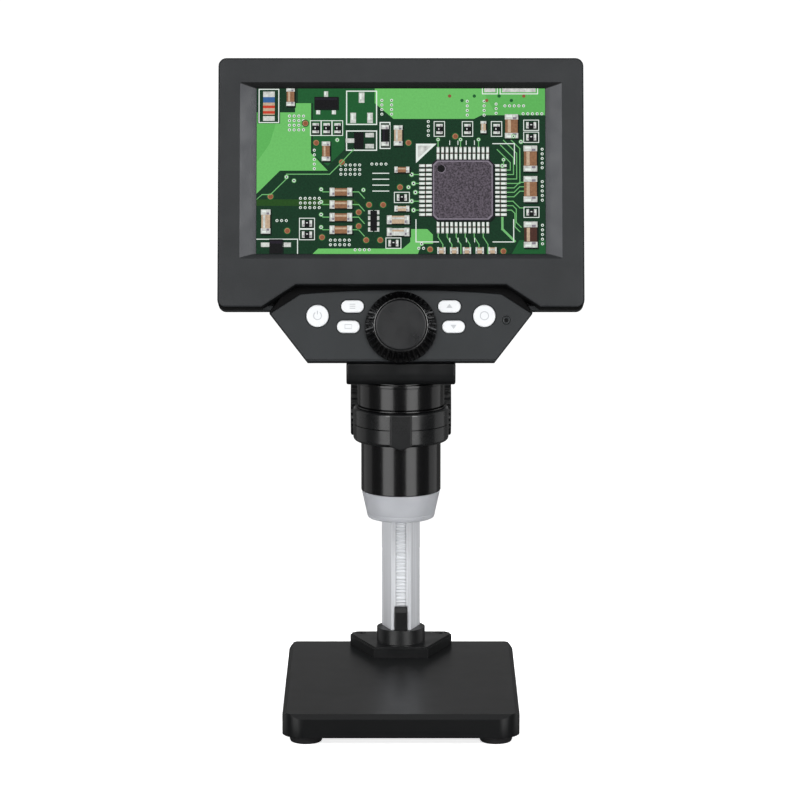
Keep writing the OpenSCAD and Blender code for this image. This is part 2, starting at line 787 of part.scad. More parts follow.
module column_foot() {
  color(black) at_column() difference() {
    union() {
      translate([0, 0, base_top]) linear_extrude(plate_t - plate_step) polygon(plate_pts);
      translate([0, 0, base_top]) linear_extrude(plate_t) polygon(grow(plate_pts, -plate_step));
      translate([0, 0, base_top]) cylinder(d = collar_d, h = collar_top - base_top);
    }
    translate([0, 0, column_bottom]) linear_extrude(column_top) polygon(grow(column_pts, fit));
    translate([-key_slot_w / 2, -column_front - key_out - 0.1, plate_top])
      cube([key_slot_w, 2, collar_h + 1]);
    for (sx = [-1, 1]) translate([sx * foot_screw_x, foot_screw_y, 0]) {
      cylinder(r = foot_screw_r + fit, h = base_top + plate_t + 1);
      translate([0, 0, plate_top - foot_head_t]) cylinder(r = foot_head_r + fit, h = foot_head_t + 1);
    }
  }
}

module column_key() {
  front = -column_front - key_out;
  color(satin_black) at_column()
    intersection() {
      translate([-key_w / 2, front, plate_top])
        cube([key_w, rack_back_y - column_y - front - 0.1, key_h]);
      across(-key_w, key_w) polygon([
        [front, 0], [0, 0], [0, key_top], [front + key_out, key_top], [front, key_top - 2.5]
      ]);
    }
}

module foot_screws() {
  color(steel) for (sx = [-1, 1]) translate([sx * foot_screw_x, column_y + foot_screw_y, 0]) {
    translate([0, 0, plate_top - foot_head_t]) difference() {
      cylinder(r = foot_head_r, h = foot_head_t - 0.2);
      translate([0, 0, 0.6]) cylinder(r = foot_screw_r * 0.7, h = foot_head_t, $fn = 6);
    }
    translate([0, 0, cover_top + foot_screw_tip])
      cylinder(r = foot_screw_r, h = plate_top - foot_head_t - cover_top - foot_screw_tip);
  }
}

module column() {
  color(silver) at_column() difference() {
    translate([0, 0, column_bottom]) linear_extrude(column_top - column_bottom) polygon(column_pts);
    translate([0, 0, column_bottom - eps]) cylinder(d = column_bore_d, h = column_top);
    translate([-channel_w / 2, -column_front - 1, rack_bottom - eps])
      cube([channel_w, rack_back_y - column_y + column_front + 1, column_top]);
    translate([-key_slot_w / 2, -column_front - 1, column_bottom - eps])
      cube([key_slot_w, rack_back_y - column_y + column_front + 1, rack_bottom - column_bottom]);
  }
}

module column_rack() {
  count = floor((rack_top - rack_bottom - 1) / pitch);
  first = ceil((rack_bottom + 0.6 * pitch - carriage_z) / pitch);
  color(silver) {
    translate([-rack_w / 2, rack_pitch_y + dedendum, rack_bottom])
      cube([rack_w, rack_back, rack_top - rack_bottom]);
    for (k = [first : first + count - 1])
      translate([0, rack_pitch_y, carriage_z + (k + 0.5) * pitch])
        across(-rack_w / 2, rack_w / 2) polygon(tooth_pts);
  }
}

module column_cap() {
  color(satin_black) at_column() {
    translate([0, 0, column_top]) linear_extrude(cap_t) polygon(grow(column_pts, cap_lip));
    translate([0, 0, column_top - 4]) cylinder(d = column_bore_d - 2 * fit, h = 4 + eps);
  }
}

// ---- Carriage ----

module carriage_screw_axes() {
  for (sx = [-1, 1]) for (z = [carriage_z + carriage_screw_up, carriage_z - carriage_screw_down])
    translate([sx * carriage_screw_x, 0, z]) children();
}

// Bores for the shaft, its bushes and the pinion, cut half from the sleeve and half from the block
module shaft_bores() {
  at_shaft() {
    rod_along_x(shaft_d / 2 + gap, -2 * sleeve_half_w, 2 * sleeve_half_w);
    rod_along_x(pinion_pocket_r, -pinion_pocket_w / 2, pinion_pocket_w / 2);
    for (side = [0, 1]) mirror([side, 0, 0])
      rod_along_x(bush_d / 2 + fit, sleeve_half_w - bush_l, sleeve_half_w + 1);
  }
}

module sleeve() {
  color(black) difference() {
    translate([-sleeve_half_w, shaft_y, sleeve_bottom])
      cube([2 * sleeve_half_w, sleeve_end_y - shaft_y, sleeve_top - sleeve_bottom]);
    at_column() translate([0, 0, sleeve_bottom - 1])
      linear_extrude(sleeve_top) polygon(grow(column_pts, gap));
    shaft_bores();
    translate([-pinion_pocket_w / 2, shaft_y - 1, carriage_z - pinion_pocket_r])
      cube([pinion_pocket_w, column_y - column_front - shaft_y + 2, 2 * pinion_pocket_r]);
    translate([-pad_w / 2 - fit, column_y, carriage_z - pad_h / 2 - fit])
      cube([pad_w + 2 * fit, sleeve_back, pad_h + 2 * fit]);
    carriage_screw_axes() {
      rod_along_y(carriage_screw_r + fit, shaft_y - 1, sleeve_end_y + 1);
      rod_along_y(carriage_head_r + fit, sleeve_end_y - carriage_head_t, sleeve_end_y + 1);
    }
  }
}

module shaft_block() {
  color(satin_black) difference() {
    translate([-sleeve_half_w, sleeve_front_y, sleeve_bottom])
      cube([2 * sleeve_half_w, shaft_y - sleeve_front_y, sleeve_top - sleeve_bottom]);
    at_barrel() translate([0, 0, sleeve_bottom - 1]) cylinder(r = ring_r + fit, h = sleeve_top);
    shaft_bores();
    carriage_screw_axes() rod_along_y(carriage_screw_r + fit, sleeve_front_y - 1, shaft_y + 1);
  }
}

module friction_pad() {
  color(satin_black)
    translate([-pad_w / 2, column_y + column_back + gap, carriage_z - pad_h / 2])
      cube([pad_w, sleeve_back - column_back - gap, pad_h]);
}

module shaft_bushes() {
  color("#b08a4a") at_shaft() for (x = [-sleeve_half_w, sleeve_half_w - bush_l]) difference() {
    rod_along_x(bush_d / 2, x, x + bush_l);
    rod_along_x(shaft_d / 2 + run, x - 1, x + bush_l + 1);
  }
}

// The screws run from the sleeve's back through it and the shaft block into the ring halves
module carriage_screws() {
  tip = barrel_y + sqrt(pow(ring_r, 2) - pow(carriage_screw_x, 2)) - 1.8;
  back = sleeve_end_y;
  color(steel) carriage_screw_axes() {
    rod_along_y(carriage_screw_r, tip, back - carriage_head_t + eps);
    difference() {
      rod_along_y(carriage_head_r, back - carriage_head_t, back - 0.2);
      translate([0, back, 0]) rotate([90, 0, 0]) cylinder(r = carriage_screw_r * 0.8, h = 1, $fn = 6);
    }
  }
}

// Part of the holder ring between two heights, with a chamfer at its top or bottom
module ring_half(z0, z1, chamfer_low, chamfer_high) {
  difference() {
    at_barrel() rotate_extrude() polygon([
      [ring_bore_r, z0], [ring_r - chamfer_low, z0], [ring_r, z0 + chamfer_low],
      [ring_r, z1 - chamfer_high], [ring_r - chamfer_high, z1], [ring_bore_r, z1]
    ]);
    at_shaft() rod_along_x(pinion_pocket_r, -pinion_pocket_w / 2, pinion_pocket_w / 2);
    carriage_screw_axes()
      rod_along_y(carriage_screw_r + fit,
                  barrel_y + sqrt(pow(ring_r, 2) - pow(carriage_screw_x, 2)) - 2, sleeve_back_y);
  }
}

module holder_ring_upper() {
  color(black) ring_half(seam_z + seam_gap / 2, ring_top, eps, ring_chamfer);
}

module holder_ring_lower() {
  color(black) ring_half(ring_bottom, seam_z - seam_gap / 2, ring_chamfer, eps);
}

module ring_tab() {
  front = barrel_y - ring_r - tab_out;
  color(satin_black) difference() {
    translate([-tab_w / 2, front, ring_bottom - tab_drop])
      cube([tab_w, tab_out + 2, ring_top - ring_bottom + tab_drop - 0.4]);
    at_barrel() cylinder(r = ring_r + fit, h = ring_top + 1);
  }
}

// ---- Height drive ----

module height_shaft() {
  color(steel) at_shaft() rod_along_x(shaft_d / 2, -knob_x + knob_floor, knob_x - knob_floor);
}

module height_pinion() {
  color("#b08a4a") at_shaft() difference() {
    translate([-height_pinion_w / 2, 0, 0]) rotate([0, 90, 0]) rotate([0, 0, 90])
      linear_extrude(height_pinion_w) polygon(gear_pts(height_teeth, height_r));
    rod_along_x(shaft_d / 2 + fit, -height_pinion_w, height_pinion_w);
  }
}

// Right-hand knob, with its outer face towards +X
module knob() {
  hub_x = sleeve_half_w + gap;
  at_shaft() difference() {
    union() {
      translate([knob_x - knob_t, 0, 0]) rotate([0, 90, 0])
        linear_extrude(knob_t) polygon(ridge_pts(knob_ridges, knob_d / 2, knob_groove));
      rod_along_x(hub_d / 2, hub_x, knob_x - knob_t + eps);
    }
    rod_along_x(shaft_d / 2 + fit, hub_x - 1, knob_x - knob_floor);
    rod_along_x(knob_d / 2 - 3.5, knob_x - knob_dish, knob_x + 1);
  }
}

module knob_left() {
  color(satin_black) mirror([1, 0, 0]) knob();
}

module knob_right() {
  color(satin_black) knob();
}

// ---- Barrel bush ----

module barrel_bush() {
  color(satin_black) at_barrel() {
    tube(bush_r, bush_bore_r, ring_bottom + 0.7, bush_flange_bottom + eps);
    tube(bush_flange_r, bush_bore_r, bush_flange_bottom, bush_flange_bottom + bush_flange_t);
  }
}

// ---- Head ----

module head_outline() {
  translate([0, head_mid]) rounded(head_w, head_h, head_r);
}

// Opening that narrows from the bezel's face to the picture
module window_cut() {
  front = -bezel_t - eps;
  intersection() {
    translate([0, 0, -head_h]) linear_extrude(2 * head_h) polygon([
      [-window_w / 2, front], [window_w / 2, front], [picture_w / 2, 0], [picture_w / 2, 1],
      [-picture_w / 2, 1], [-picture_w / 2, 0]
    ]);
    across(-head_w, head_w) polygon([
      [front, -window_h / 2], [0, -picture_h / 2], [1, -picture_h / 2], [1, picture_h / 2],
      [0, picture_h / 2], [front, window_h / 2]
    ]);
  }
}

module front_bezel() {
  c = bezel_chamfer;
  color(charcoal) head_frame() difference() {
    union() {
      difference() {
        intersection() {
          slab(-bezel_t, bezel_depth) head_outline();
          translate([0, 0, -2 * head_h]) linear_extrude(4 * head_h) polygon([
            [-head_w / 2 + c, -bezel_t], [head_w / 2 - c, -bezel_t], [head_w / 2, c - bezel_t],
            [head_w / 2, bezel_depth], [-head_w / 2, bezel_depth], [-head_w / 2, c - bezel_t]
          ]);
          across(-head_w, head_w) polygon([
            [-bezel_t, -head_down + c], [c - bezel_t, -head_down], [bezel_depth, -head_down],
            [bezel_depth, head_up], [c - bezel_t, head_up], [-bezel_t, head_up - c]
          ]);
        }
        slab(0, bezel_depth + 1) difference() {
          translate([0, head_mid])
            rounded(head_w - 2 * case_wall, head_h - 2 * case_wall, head_r - case_wall);
          polygon(notch_pts(case_wall));
        }
      }
      for (p = case_screw_places) translate([p[0], 0, p[1]])
        rod_along_y(case_boss_r, -eps, bezel_depth);
    }
    window_cut();
    slab(-bezel_t - 1, bezel_depth + 1) polygon(notch_pts(0));
    for (p = case_screw_places) translate([p[0], 0, p[1]])
      rod_along_y(case_screw_r + fit, 0.5, bezel_depth + 1);
  }
}

// Opening through the case's back into the neck block
module case_opening() {
  translate([-opening_half_w, opening_low]) square([2 * opening_half_w, opening_high - opening_low]);
}

// Space inside the rear cover, between two depths
module rear_cavity(y0, y1) {
  slab(y0, y1) {
    translate([0, head_mid])
      rounded(head_w - 2 * case_wall, head_h - 2 * case_wall, head_r - case_wall);
    polygon(grow(panel_pts, -case_wall));
  }
}

module rear_cover() {
  color(charcoal) head_frame() difference() {
    union() {
      difference() {
        union() {
          slab(bezel_depth, case_depth) head_outline();
          slab(panel_rim, case_depth) polygon(panel_pts);
          translate([0, 0, -battery_down])
            slab(case_depth - eps, hump_back) rounded(battery_l + 8, 2 * hump_half_h, 3);
        }
        rear_cavity(bezel_depth - 1, case_inner);
        slab(bezel_depth - 1, panel_rim) polygon(grow(panel_pts, fit));
        translate([0, 0, -battery_down])
          slab(case_inner - 1, hump_back - case_wall)
            square([battery_l + 2, 2 * (hump_half_h - case_wall)], center = true);
      }
      for (p = case_screw_places) translate([p[0], 0, p[1]])
        rod_along_y(case_boss_r, bezel_depth, case_depth);
      for (x = [board_left + stand_off_inset, board_right - card_size[0] - stand_off_inset])
        for (z = [board_low + stand_off_inset, board_high - stand_off_inset])
          translate([x, 0, z]) rod_along_y(stand_off_r, case_inner - stand_off_h, case_inner + eps);
    }
    for (p = case_screw_places) translate([p[0], 0, p[1]]) {
      rod_along_y(case_screw_r + fit, bezel_depth - 1, case_depth + 1);
      rod_along_y(case_head_r + fit, case_depth - case_head_t, case_depth + 1);
    }
    slab(case_inner - 1, case_depth + 1) case_opening();
    for (p = neck_screw_places) translate([p[0], 0, p[1]])
      rod_along_y(neck_screw_r + fit, case_inner - 1, case_depth + 1);
    translate([
      head_w / 2 - case_wall - 1, case_inner - usb_size[1] - fit, usb_up - usb_size[2] / 2 - fit
    ])
      cube([case_wall + 2, usb_size[1] + 2 * fit, usb_size[2] + 2 * fit]);
    translate([
      head_w / 2 - case_wall - 1, board_front - card_size[1] - fit, card_up - card_size[2] / 2 - fit
    ])
      cube([case_wall + 2, card_size[1] + 2 * fit, card_size[2] + 2 * fit]);
  }
}

// Places on the control panel: side is -1 on the left and 1 on the right
module at_round(side) { translate([side * round_x, 0, -round_down]) children(); }
module at_upper(side) { translate([side * upper_x, 0, -upper_down]) children(); }
module at_lower(side) { translate([side * lower_x, 0, -lower_down]) children(); }
module at_dial() { translate([0, 0, -dial_down]) children(); }
module at_indicator() { translate([indicator_x, 0, -indicator_down]) children(); }

module control_panel() {
  color(charcoal) head_frame() difference() {
    slab(panel_front, panel_rim) polygon(panel_pts);
    slab(panel_back, panel_rim + 1) polygon(grow(panel_pts, -case_wall));
    slab(panel_front - 1, panel_front + panel_sink) difference() {
      translate([0, -panel_top]) square([4 * notch_bottom, 4 * notch_h], center = true);
      polygon(face_pts);
    }
    for (side = [-1, 1]) {
      at_round(side) rod_along_y(button_d / 2 + button_gap, 0, panel_rim);
      at_upper(side) slab(0, panel_rim) oval(oval_w + 2 * button_gap, oval_h + 2 * button_gap);
      at_lower(side) slab(0, panel_rim) oval(oval_w + 2 * button_gap, oval_h + 2 * button_gap);
    }
    at_dial() rod_along_y(dial_bush_d / 2 + fit, 0, panel_rim);
    at_indicator() rod_along_y(indicator_d / 2 + fit, 0, panel_rim);
  }
}

module case_screws() {
  color(steel) head_frame() for (p = case_screw_places) translate([p[0], 0, p[1]]) {
    rod_along_y(case_screw_r, 1, case_depth - case_head_t + eps);
    difference() {
      rod_along_y(case_head_r, case_depth - case_head_t, case_depth - 0.2);
      translate([0, case_depth, 0]) rotate([90, 0, 0]) cylinder(r = case_screw_r * 0.8, h = 1, $fn = 6);
    }
  }
}

module lcd_panel() {
  color("#15181a") head_frame() slab(0, lcd_t) square([lcd_w, lcd_h], center = true);
}

module lcd_backlight() {
  color(steel) head_frame() slab(lcd_t, lcd_t + backlight_t) square([lcd_w, lcd_h], center = true);
}

module main_board() {
  color(board_green) head_frame() translate([board_left, board_front, board_low])
    cube([board_right - board_left, board_t, board_high - board_low]);
}

module button_board() {
  low = -dial_down - button_board_low;
  high = -upper_down + oval_h / 2 + 1;
  side = -indicator_down - button_board_side;
  w = indicator_x + button_board_side;
  color(board_green) head_frame() difference() {
    slab(button_board_front, case_inner) polygon([
      [-panel_bottom_w, low], [panel_bottom_w, low], [w, side], [w, high], [-w, high], [-w, side]
    ]);
    at_dial() rod_along_y(dial_bush_d / 2 + 1, 0, case_depth);
  }
}

module tact_switches() {
  size = 4.5;
  color(steel) head_frame() for (side = [-1, 1]) {
    at_round(side) slab(switch_front, button_board_front) square(size, center = true);
    at_upper(side) slab(switch_front, button_board_front) square(size, center = true);
    at_lower(side) slab(switch_front, button_board_front) square(size, center = true);
  }
}

module battery() {
  color("#2a66a8") head_frame() translate([0, battery_back, -battery_down])
    rod_along_x(battery_d / 2, -battery_l / 2, battery_l / 2);
}

// Metal shell with a tongue inside, open towards +X
module usb_socket() {
  wall = 0.4;
  tongue_t = 0.7;
  tongue_w = 6;
  color(steel) head_frame()
    translate([port_x - usb_size[0], case_inner - usb_size[1], usb_up - usb_size[2] / 2]) {
      difference() {
        cube(usb_size);
        translate([wall, wall, wall])
          cube([usb_size[0], usb_size[1] - 2 * wall, usb_size[2] - 2 * wall]);
      }
      translate([wall - eps, (usb_size[1] - tongue_t) / 2, (usb_size[2] - tongue_w) / 2])
        cube([usb_size[0] - 2, tongue_t, tongue_w]);
    }
}

module card_socket() {
  wall = 0.3;
  color(steel) head_frame()
    translate([port_x - card_size[0], board_front - card_size[1], card_up - card_size[2] / 2])
      difference() {
        cube(card_size);
        translate([wall, wall, 1])
          cube([card_size[0], card_size[1] - 2 * wall, card_size[2] - 2]);
      }
}

module indicator_light() {
  color("#202224") head_frame() at_indicator() difference() {
    rod_along_y(indicator_d / 2, panel_front - 0.2, button_board_front);
    rod_along_y(indicator_hole_r, panel_front - 1, panel_front + 1.5);
  }
}

module neck_block() {
  color(black) difference() {
    union() {
      difference() {
        across(-neck_half_w, neck_half_w) polygon(neck_pts);
        across(-neck_half_w + neck_wall, neck_half_w - neck_wall) polygon(grow(neck_pts, -neck_wall));
        head_frame() slab(case_depth - 1, case_depth + neck_wall + 0.1) case_opening();
      }
      intersection() {
        across(-neck_half_w, neck_half_w) polygon(neck_pts);
        head_frame() for (p = neck_screw_places)
          translate([p[0], 0, p[1]])
          rod_along_y(neck_boss_r, case_depth, case_depth + neck_boss_l);
      }
    }
    at_barrel() cylinder(r = barrel_r + fit, h = spigot_top + eps);
    head_frame() for (p = neck_screw_places)
      translate([p[0], 0, p[1]])
        rod_along_y(neck_screw_r + fit, case_depth - 1, case_depth + neck_boss_l - 1);
  }
}

module neck_screws() {
  color(steel) head_frame() for (p = neck_screw_places) translate([p[0], 0, p[1]]) {
    rod_along_y(neck_head_r, case_inner - neck_head_t, case_inner);
    rod_along_y(neck_screw_r, case_inner - eps, case_depth + neck_boss_l - 1.5);
  }
}

module barrel_upper() {
  color(satin_black) at_barrel() difference() {
    rotate_extrude() polygon([
      [0, shoulder_z], [collar_top_d / 2, shoulder_z], [collar_top_d / 2, flange_z],
      [flange_d / 2, flange_z], [flange_d / 2, flange_z + flange_t],
      [collar_top_d / 2 - 0.8, flange_z + flange_t], [collar_top_d / 2 - 0.8, neck_z],
      [barrel_r, neck_z], [barrel_r, spigot_top], [0, spigot_top]
    ]);
    cylinder(r = barrel_bore_r, h = spigot_top + 1);
    translate([0, 0, shoulder_z - 1]) cylinder(r = barrel_r + fit, h = barrel_overlap + 1);
  }
}

module barrel_lower() {
  color(satin_black) at_barrel()
    tube(barrel_r, barrel_bore_r, lower_bottom, shoulder_z + barrel_overlap);
}

module led_cap() {
  edge = 2;
  r_top = led_cap_d / 2;
  r_low = led_cap_bottom_d / 2;
  wall = led_cap_wall;
  color(frost) at_barrel() rotate_extrude() polygon([
    [led_hole_d / 2, led_bottom], [r_low - edge, led_bottom], [r_low, led_bottom + edge],
    [r_top, lower_bottom], [barrel_bore_r - fit, lower_bottom], [barrel_bore_r - fit, led_spigot_top],
    [barrel_bore_r - fit - wall, led_spigot_top], [barrel_bore_r - fit - wall, lower_bottom - 2],
    [r_low - wall, led_bottom + edge + wall], [r_low - wall - edge, led_bottom + wall],
    [led_hole_d / 2, led_bottom + wall]
  ]);
}

module led_board() {
  color(white) at_barrel()
    tube(barrel_bore_r - fit, led_hole_d / 2, led_spigot_top, led_spigot_top + board_t);
}

module leds() {
  t = 1.4;
  color("#fff3c4") at_barrel() for (i = [0 : led_count - 1])
    rotate([0, 0, 360 * i / led_count])
      translate([led_circle_d / 2, 0, led_spigot_top - t / 2])
        cube([led_size, led_size, t], center = true);
}

module sensor_board() {
  back = barrel_y + sensor_half_w + 2;
  color(board_green) translate([-sensor_half_w, sensor_front_y, spigot_top])
    cube([2 * sensor_half_w, back - sensor_front_y, board_t]);
}

module image_sensor() {
  t = 1.8;
  color("#30343a") translate([-sensor_size / 2, barrel_y - sensor_size / 2, spigot_top - t])
    cube([sensor_size, sensor_size, t]);
}

module dial_bush() {
  color("#b08a4a") head_frame() at_dial() difference() {
    union() {
      rod_along_y(dial_bush_d / 2, panel_front, button_board_front);
      rod_along_y(dial_bush_d / 2 + 1.5, panel_back, panel_back + 1);
    }
    rod_along_y(dial_shaft_r + run, panel_front - 1, case_inner);
  }
}

// Bracket that carries the inner end of the dial's shaft
module shaft_bracket() {
  color(steel) head_frame() at_dial() difference() {
    union() {
      slab(bracket_front, bracket_front + bracket_t)
        square([2 * bracket_half_w, 2 * bracket_half_h], center = true);
      for (sx = [-1, 1]) translate([sx * (bracket_half_w - bracket_leg / 2), 0, 0])
        slab(case_inner, bracket_front + eps) square([bracket_leg, 2 * bracket_half_h], center = true);
    }
    rod_along_y(dial_shaft_r + run, bracket_front - 1, shaft_end + 1);
  }
}

// ---- Focus dial ----

module focus_dial() {
  color(satin_black) head_frame() at_dial() difference() {
    intersection() {
      slab(dial_front, dial_back) polygon(ridge_pts(dial_ridges, dial_d / 2, dial_groove));
      union() {
        rod_along_y(dial_d / 2, dial_back - dial_foot, dial_back);
        translate([0, dial_back - dial_foot + eps, 0]) rotate([90, 0, 0])
          cylinder(r1 = dial_d / 2, r2 = dial_front_d / 2, h = dial_h - dial_foot + eps);
      }
    }
    rod_along_y(disc_d / 2 + fit, dial_front - 1, dial_front + disc_t);
    rod_along_y(dial_shaft_r + fit, dial_front + disc_t + 2, dial_back + 1);
  }
}

module dial_disc() {
  color(black) head_frame() at_dial() rod_along_y(disc_d / 2, dial_front + 0.2, dial_front + disc_t);
}

module dial_shaft() {
  color(steel) head_frame() at_dial() {
    rod_along_y(dial_shaft_r, dial_front + disc_t + 2, shaft_end);
    translate([0, focus_pinion_w / 2, 0])
      slab(focus_pinion_back - focus_pinion_w, focus_pinion_back)
        polygon(gear_pts(focus_teeth, focus_r));
  }
}

// ---- Lens unit ----

module lens_carrier() {
  color(satin_black) at_barrel() difference() {
    tube(carrier_r, carrier_bore_d / 2, carrier_bottom, carrier_top);
    translate([0, 0, carrier_bottom - eps]) cylinder(d = lens_d + 2 * fit, h = lens_seat + eps);
  }
}

module objective_lens() {
  ball_r = pow(lens_d / 2, 2) / lens_rise;
  lens_top = carrier_bottom + lens_seat;
  color("#bcd6e2") at_barrel() intersection() {
    translate([0, 0, carrier_bottom]) cylinder(d = lens_d, h = lens_seat);
    translate([0, 0, lens_top - ball_r - eps]) sphere(r = ball_r, $fn = 96);
  }
}

// Rod with teeth that lie along the dial's shaft
module lens_rack() {
  step = pitch / tilt_c;
  count = ceil(2 * (focus_travel + 2) / step / 2);
  color(steel) {
    translate([focus_r + dedendum, rod_y - rod_w / 2, carrier_top])
      cube([rod_t, rod_w, rod_top - carrier_top]);
    intersection() {
      translate([0, rod_y - rod_w / 2, carrier_top])
        cube([focus_r + dedendum + rod_t, rod_w, rod_top - carrier_top]);
      for (k = [-count : count - 1])
        translate([focus_r, focus_at[0], focus_at[1] + (k + 0.5) * step]) rotate([-head_tilt, 0, 0])
          slab(-rod_w, rod_w) polygon(tooth_pts);
    }
  }
}

// ---- Buttons ----

// Cap, flange and stem of a button whose outline is given as a child; flange outline second
module button_body() {
  slab(panel_front - button_out, button_flange_front + eps) children(0);
  slab(button_flange_front, button_flange_front + button_flange_t) children(1);
  rod_along_y(1.6, button_flange_front, button_stem_end);
}
module round_button(side) {
  color(white) head_frame() at_round(side) button_body() {
    circle(button_d / 2);
    circle(button_d / 2 + button_flange_w);
  }
}
module oval_button() {
  button_body() {
    oval(oval_w, oval_h);
    oval(oval_w + 2 * button_flange_w, oval_h + 2 * button_flange_w);
  }
}

module power_button() { round_button(-1); }
module ok_button() { round_button(1); }
module menu_button() { color(white) head_frame() at_upper(-1) oval_button(); }
module mode_button() { color(white) head_frame() at_lower(-1) oval_button(); }
module up_button() { color(white) head_frame() at_upper(1) oval_button(); }
module down_button() { color(white) head_frame() at_lower(1) oval_button(); }

base_plate();
base_weight();
base_cover();
rubber_feet();
base_screws();
column_foot();
column_key();
foot_screws();
column();
column_rack();
column_cap();
sleeve();
shaft_block();
friction_pad();
shaft_bushes();
carriage_screws();
holder_ring_upper();
holder_ring_lower();
ring_tab();
height_shaft();
height_pinion();
knob_left();
knob_right();
barrel_bush();
front_bezel();
rear_cover();
control_panel();
case_screws();
lcd_panel();
lcd_backlight();
main_board();
button_board();
tact_switches();
battery();
usb_socket();
card_socket();
indicator_light();
neck_block();
neck_screws();
barrel_upper();
barrel_lower();
led_cap();
led_board();
leds();
sensor_board();
image_sensor();
dial_bush();
shaft_bracket();
focus_dial();
dial_disc();
dial_shaft();
lens_carrier();
objective_lens();
lens_rack();
power_button();
ok_button();
menu_button();
mode_button();
up_button();
down_button();
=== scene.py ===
"""Looks of the digital microscope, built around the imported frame.

Lengths of the object are in millimetres, and MM turns them into metres. Lamps and the
camera are placed in metres. Pieces of the head are made in the head's own frame: x to the
right, y back from the screen's face and z up along it, with its origin at the screen's centre.
"""
import json
import math

import bmesh
import bpy
from mathutils import Matrix, Vector
from mathutils.geometry import tessellate_polygon


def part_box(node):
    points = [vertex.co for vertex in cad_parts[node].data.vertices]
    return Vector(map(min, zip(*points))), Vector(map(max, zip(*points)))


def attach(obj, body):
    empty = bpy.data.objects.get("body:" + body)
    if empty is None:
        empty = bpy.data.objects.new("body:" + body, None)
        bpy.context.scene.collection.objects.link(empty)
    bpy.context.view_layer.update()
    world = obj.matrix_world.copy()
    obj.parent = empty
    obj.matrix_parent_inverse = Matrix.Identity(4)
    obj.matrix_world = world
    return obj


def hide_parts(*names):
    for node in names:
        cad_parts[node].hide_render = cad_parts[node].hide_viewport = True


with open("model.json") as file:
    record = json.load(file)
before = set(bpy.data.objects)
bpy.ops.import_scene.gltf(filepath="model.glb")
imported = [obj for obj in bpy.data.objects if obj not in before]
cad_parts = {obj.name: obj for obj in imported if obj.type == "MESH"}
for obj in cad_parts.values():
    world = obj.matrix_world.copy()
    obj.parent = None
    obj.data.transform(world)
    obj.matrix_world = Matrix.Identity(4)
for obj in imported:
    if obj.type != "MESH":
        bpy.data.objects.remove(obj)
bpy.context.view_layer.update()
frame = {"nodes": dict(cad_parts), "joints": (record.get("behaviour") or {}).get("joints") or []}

MM = 0.001
joints = {j["name"]: j for j in frame["joints"]}


# ---- the frame's own places

def span(node):
    """Lowest and highest corner of a CAD node, in millimetres."""
    low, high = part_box(node)
    return low / MM, high / MM


def at(x=0.0, y=0.0, z=0.0):
    return Matrix.Translation((x, y, z))


PRESS = Vector(joints["power_press"]["axis"])
TILT = math.atan2(-PRESS.z, PRESS.y)
DIAL_DOWN = 83.3
DIAL_AT = Vector(joints["focus_turn"]["pos_m"]) / MM
UP = Vector((0, math.sin(TILT), math.cos(TILT)))
HEAD = Matrix.Translation(DIAL_AT + UP * DIAL_DOWN) @ Matrix.Rotation(-TILT, 4, "X")
WORLD = Matrix.Identity(4)
BARREL_Y = joints["head_swivel"]["pos_m"][1] / MM
BARREL = at(0, BARREL_Y)
KNOBS = at(0, *(Vector(joints["height_knobs"]["pos_m"]) / MM).yz)

# FACING stands an outline up: (a, b, depth) becomes (a, depth, b). ACROSS turns (y, z, x) into (x, y, z)
FACING = Matrix(((1, 0, 0, 0), (0, 0, 1, 0), (0, 1, 0, 0), (0, 0, 0, 1)))
ACROSS = Matrix(((0, 0, 1, 0), (1, 0, 0, 0), (0, 1, 0, 0), (0, 0, 0, 1)))


# ---- mesh tools

class Shape:
    """Vertices, faces and each face's tag, which is the number of its material."""

    def __init__(self):
        self.verts = []
        self.faces = []
        self.tags = []
        self.tag = 0

    def ring(self, points):
        first = len(self.verts)
        self.verts += [Vector(p) for p in points]
        return list(range(first, len(self.verts)))

    def face(self, indices, tag=None):
        self.faces.append(tuple(indices))
        self.tags.append(self.tag if tag is None else tag)

    def bridge(self, a, b, tag_of=None):
        """Faces between two rings. tag_of may give each face's tag from its corners."""
        for i in range(len(a)):
            j = (i + 1) % len(a)
            quad = (a[i], a[j], b[j], b[i])
            self.face(quad, tag_of([self.verts[k] for k in quad]) if tag_of else None)

    def bridge_all(self, rings):
        for a, b in zip(rings, rings[1:]):
            self.bridge(a, b)

    def fill(self, outer, holes=()):
        """Fills the flat area inside a ring and outside its holes."""
        rings = [outer, *holes]
        indices = [i for ring in rings for i in ring]
        for tri in tessellate_polygon([[self.verts[i] for i in ring] for ring in rings]):
            self.face([indices[k] for k in tri])

    def add(self, other, matrix=WORLD, tag=None):
        first = len(self.verts)
        self.verts += [matrix @ v for v in other.verts]
        self.faces += [tuple(i + first for i in f) for f in other.faces]
        self.tags += other.tags if tag is None else [tag] * len(other.faces)


def to_object(name, shape, materials=()):
    """Object in metres with the shape's mesh, its faces turned outward."""
    mesh = bpy.data.meshes.new(name)
    mesh.from_pydata([v * MM for v in shape.verts], [], shape.faces)
    for m in materials:
        mesh.materials.append(m)
    mesh.polygons.foreach_set("material_index", shape.tags)
    bm = bmesh.new()
    bm.from_mesh(mesh)
    bmesh.ops.remove_doubles(bm, verts=bm.verts, dist=2e-7)
    bmesh.ops.recalc_face_normals(bm, faces=bm.faces)
    bm.to_mesh(mesh)
    bm.free()
    obj = bpy.data.objects.new(name, mesh)
    bpy.context.scene.collection.objects.link(obj)
    return obj


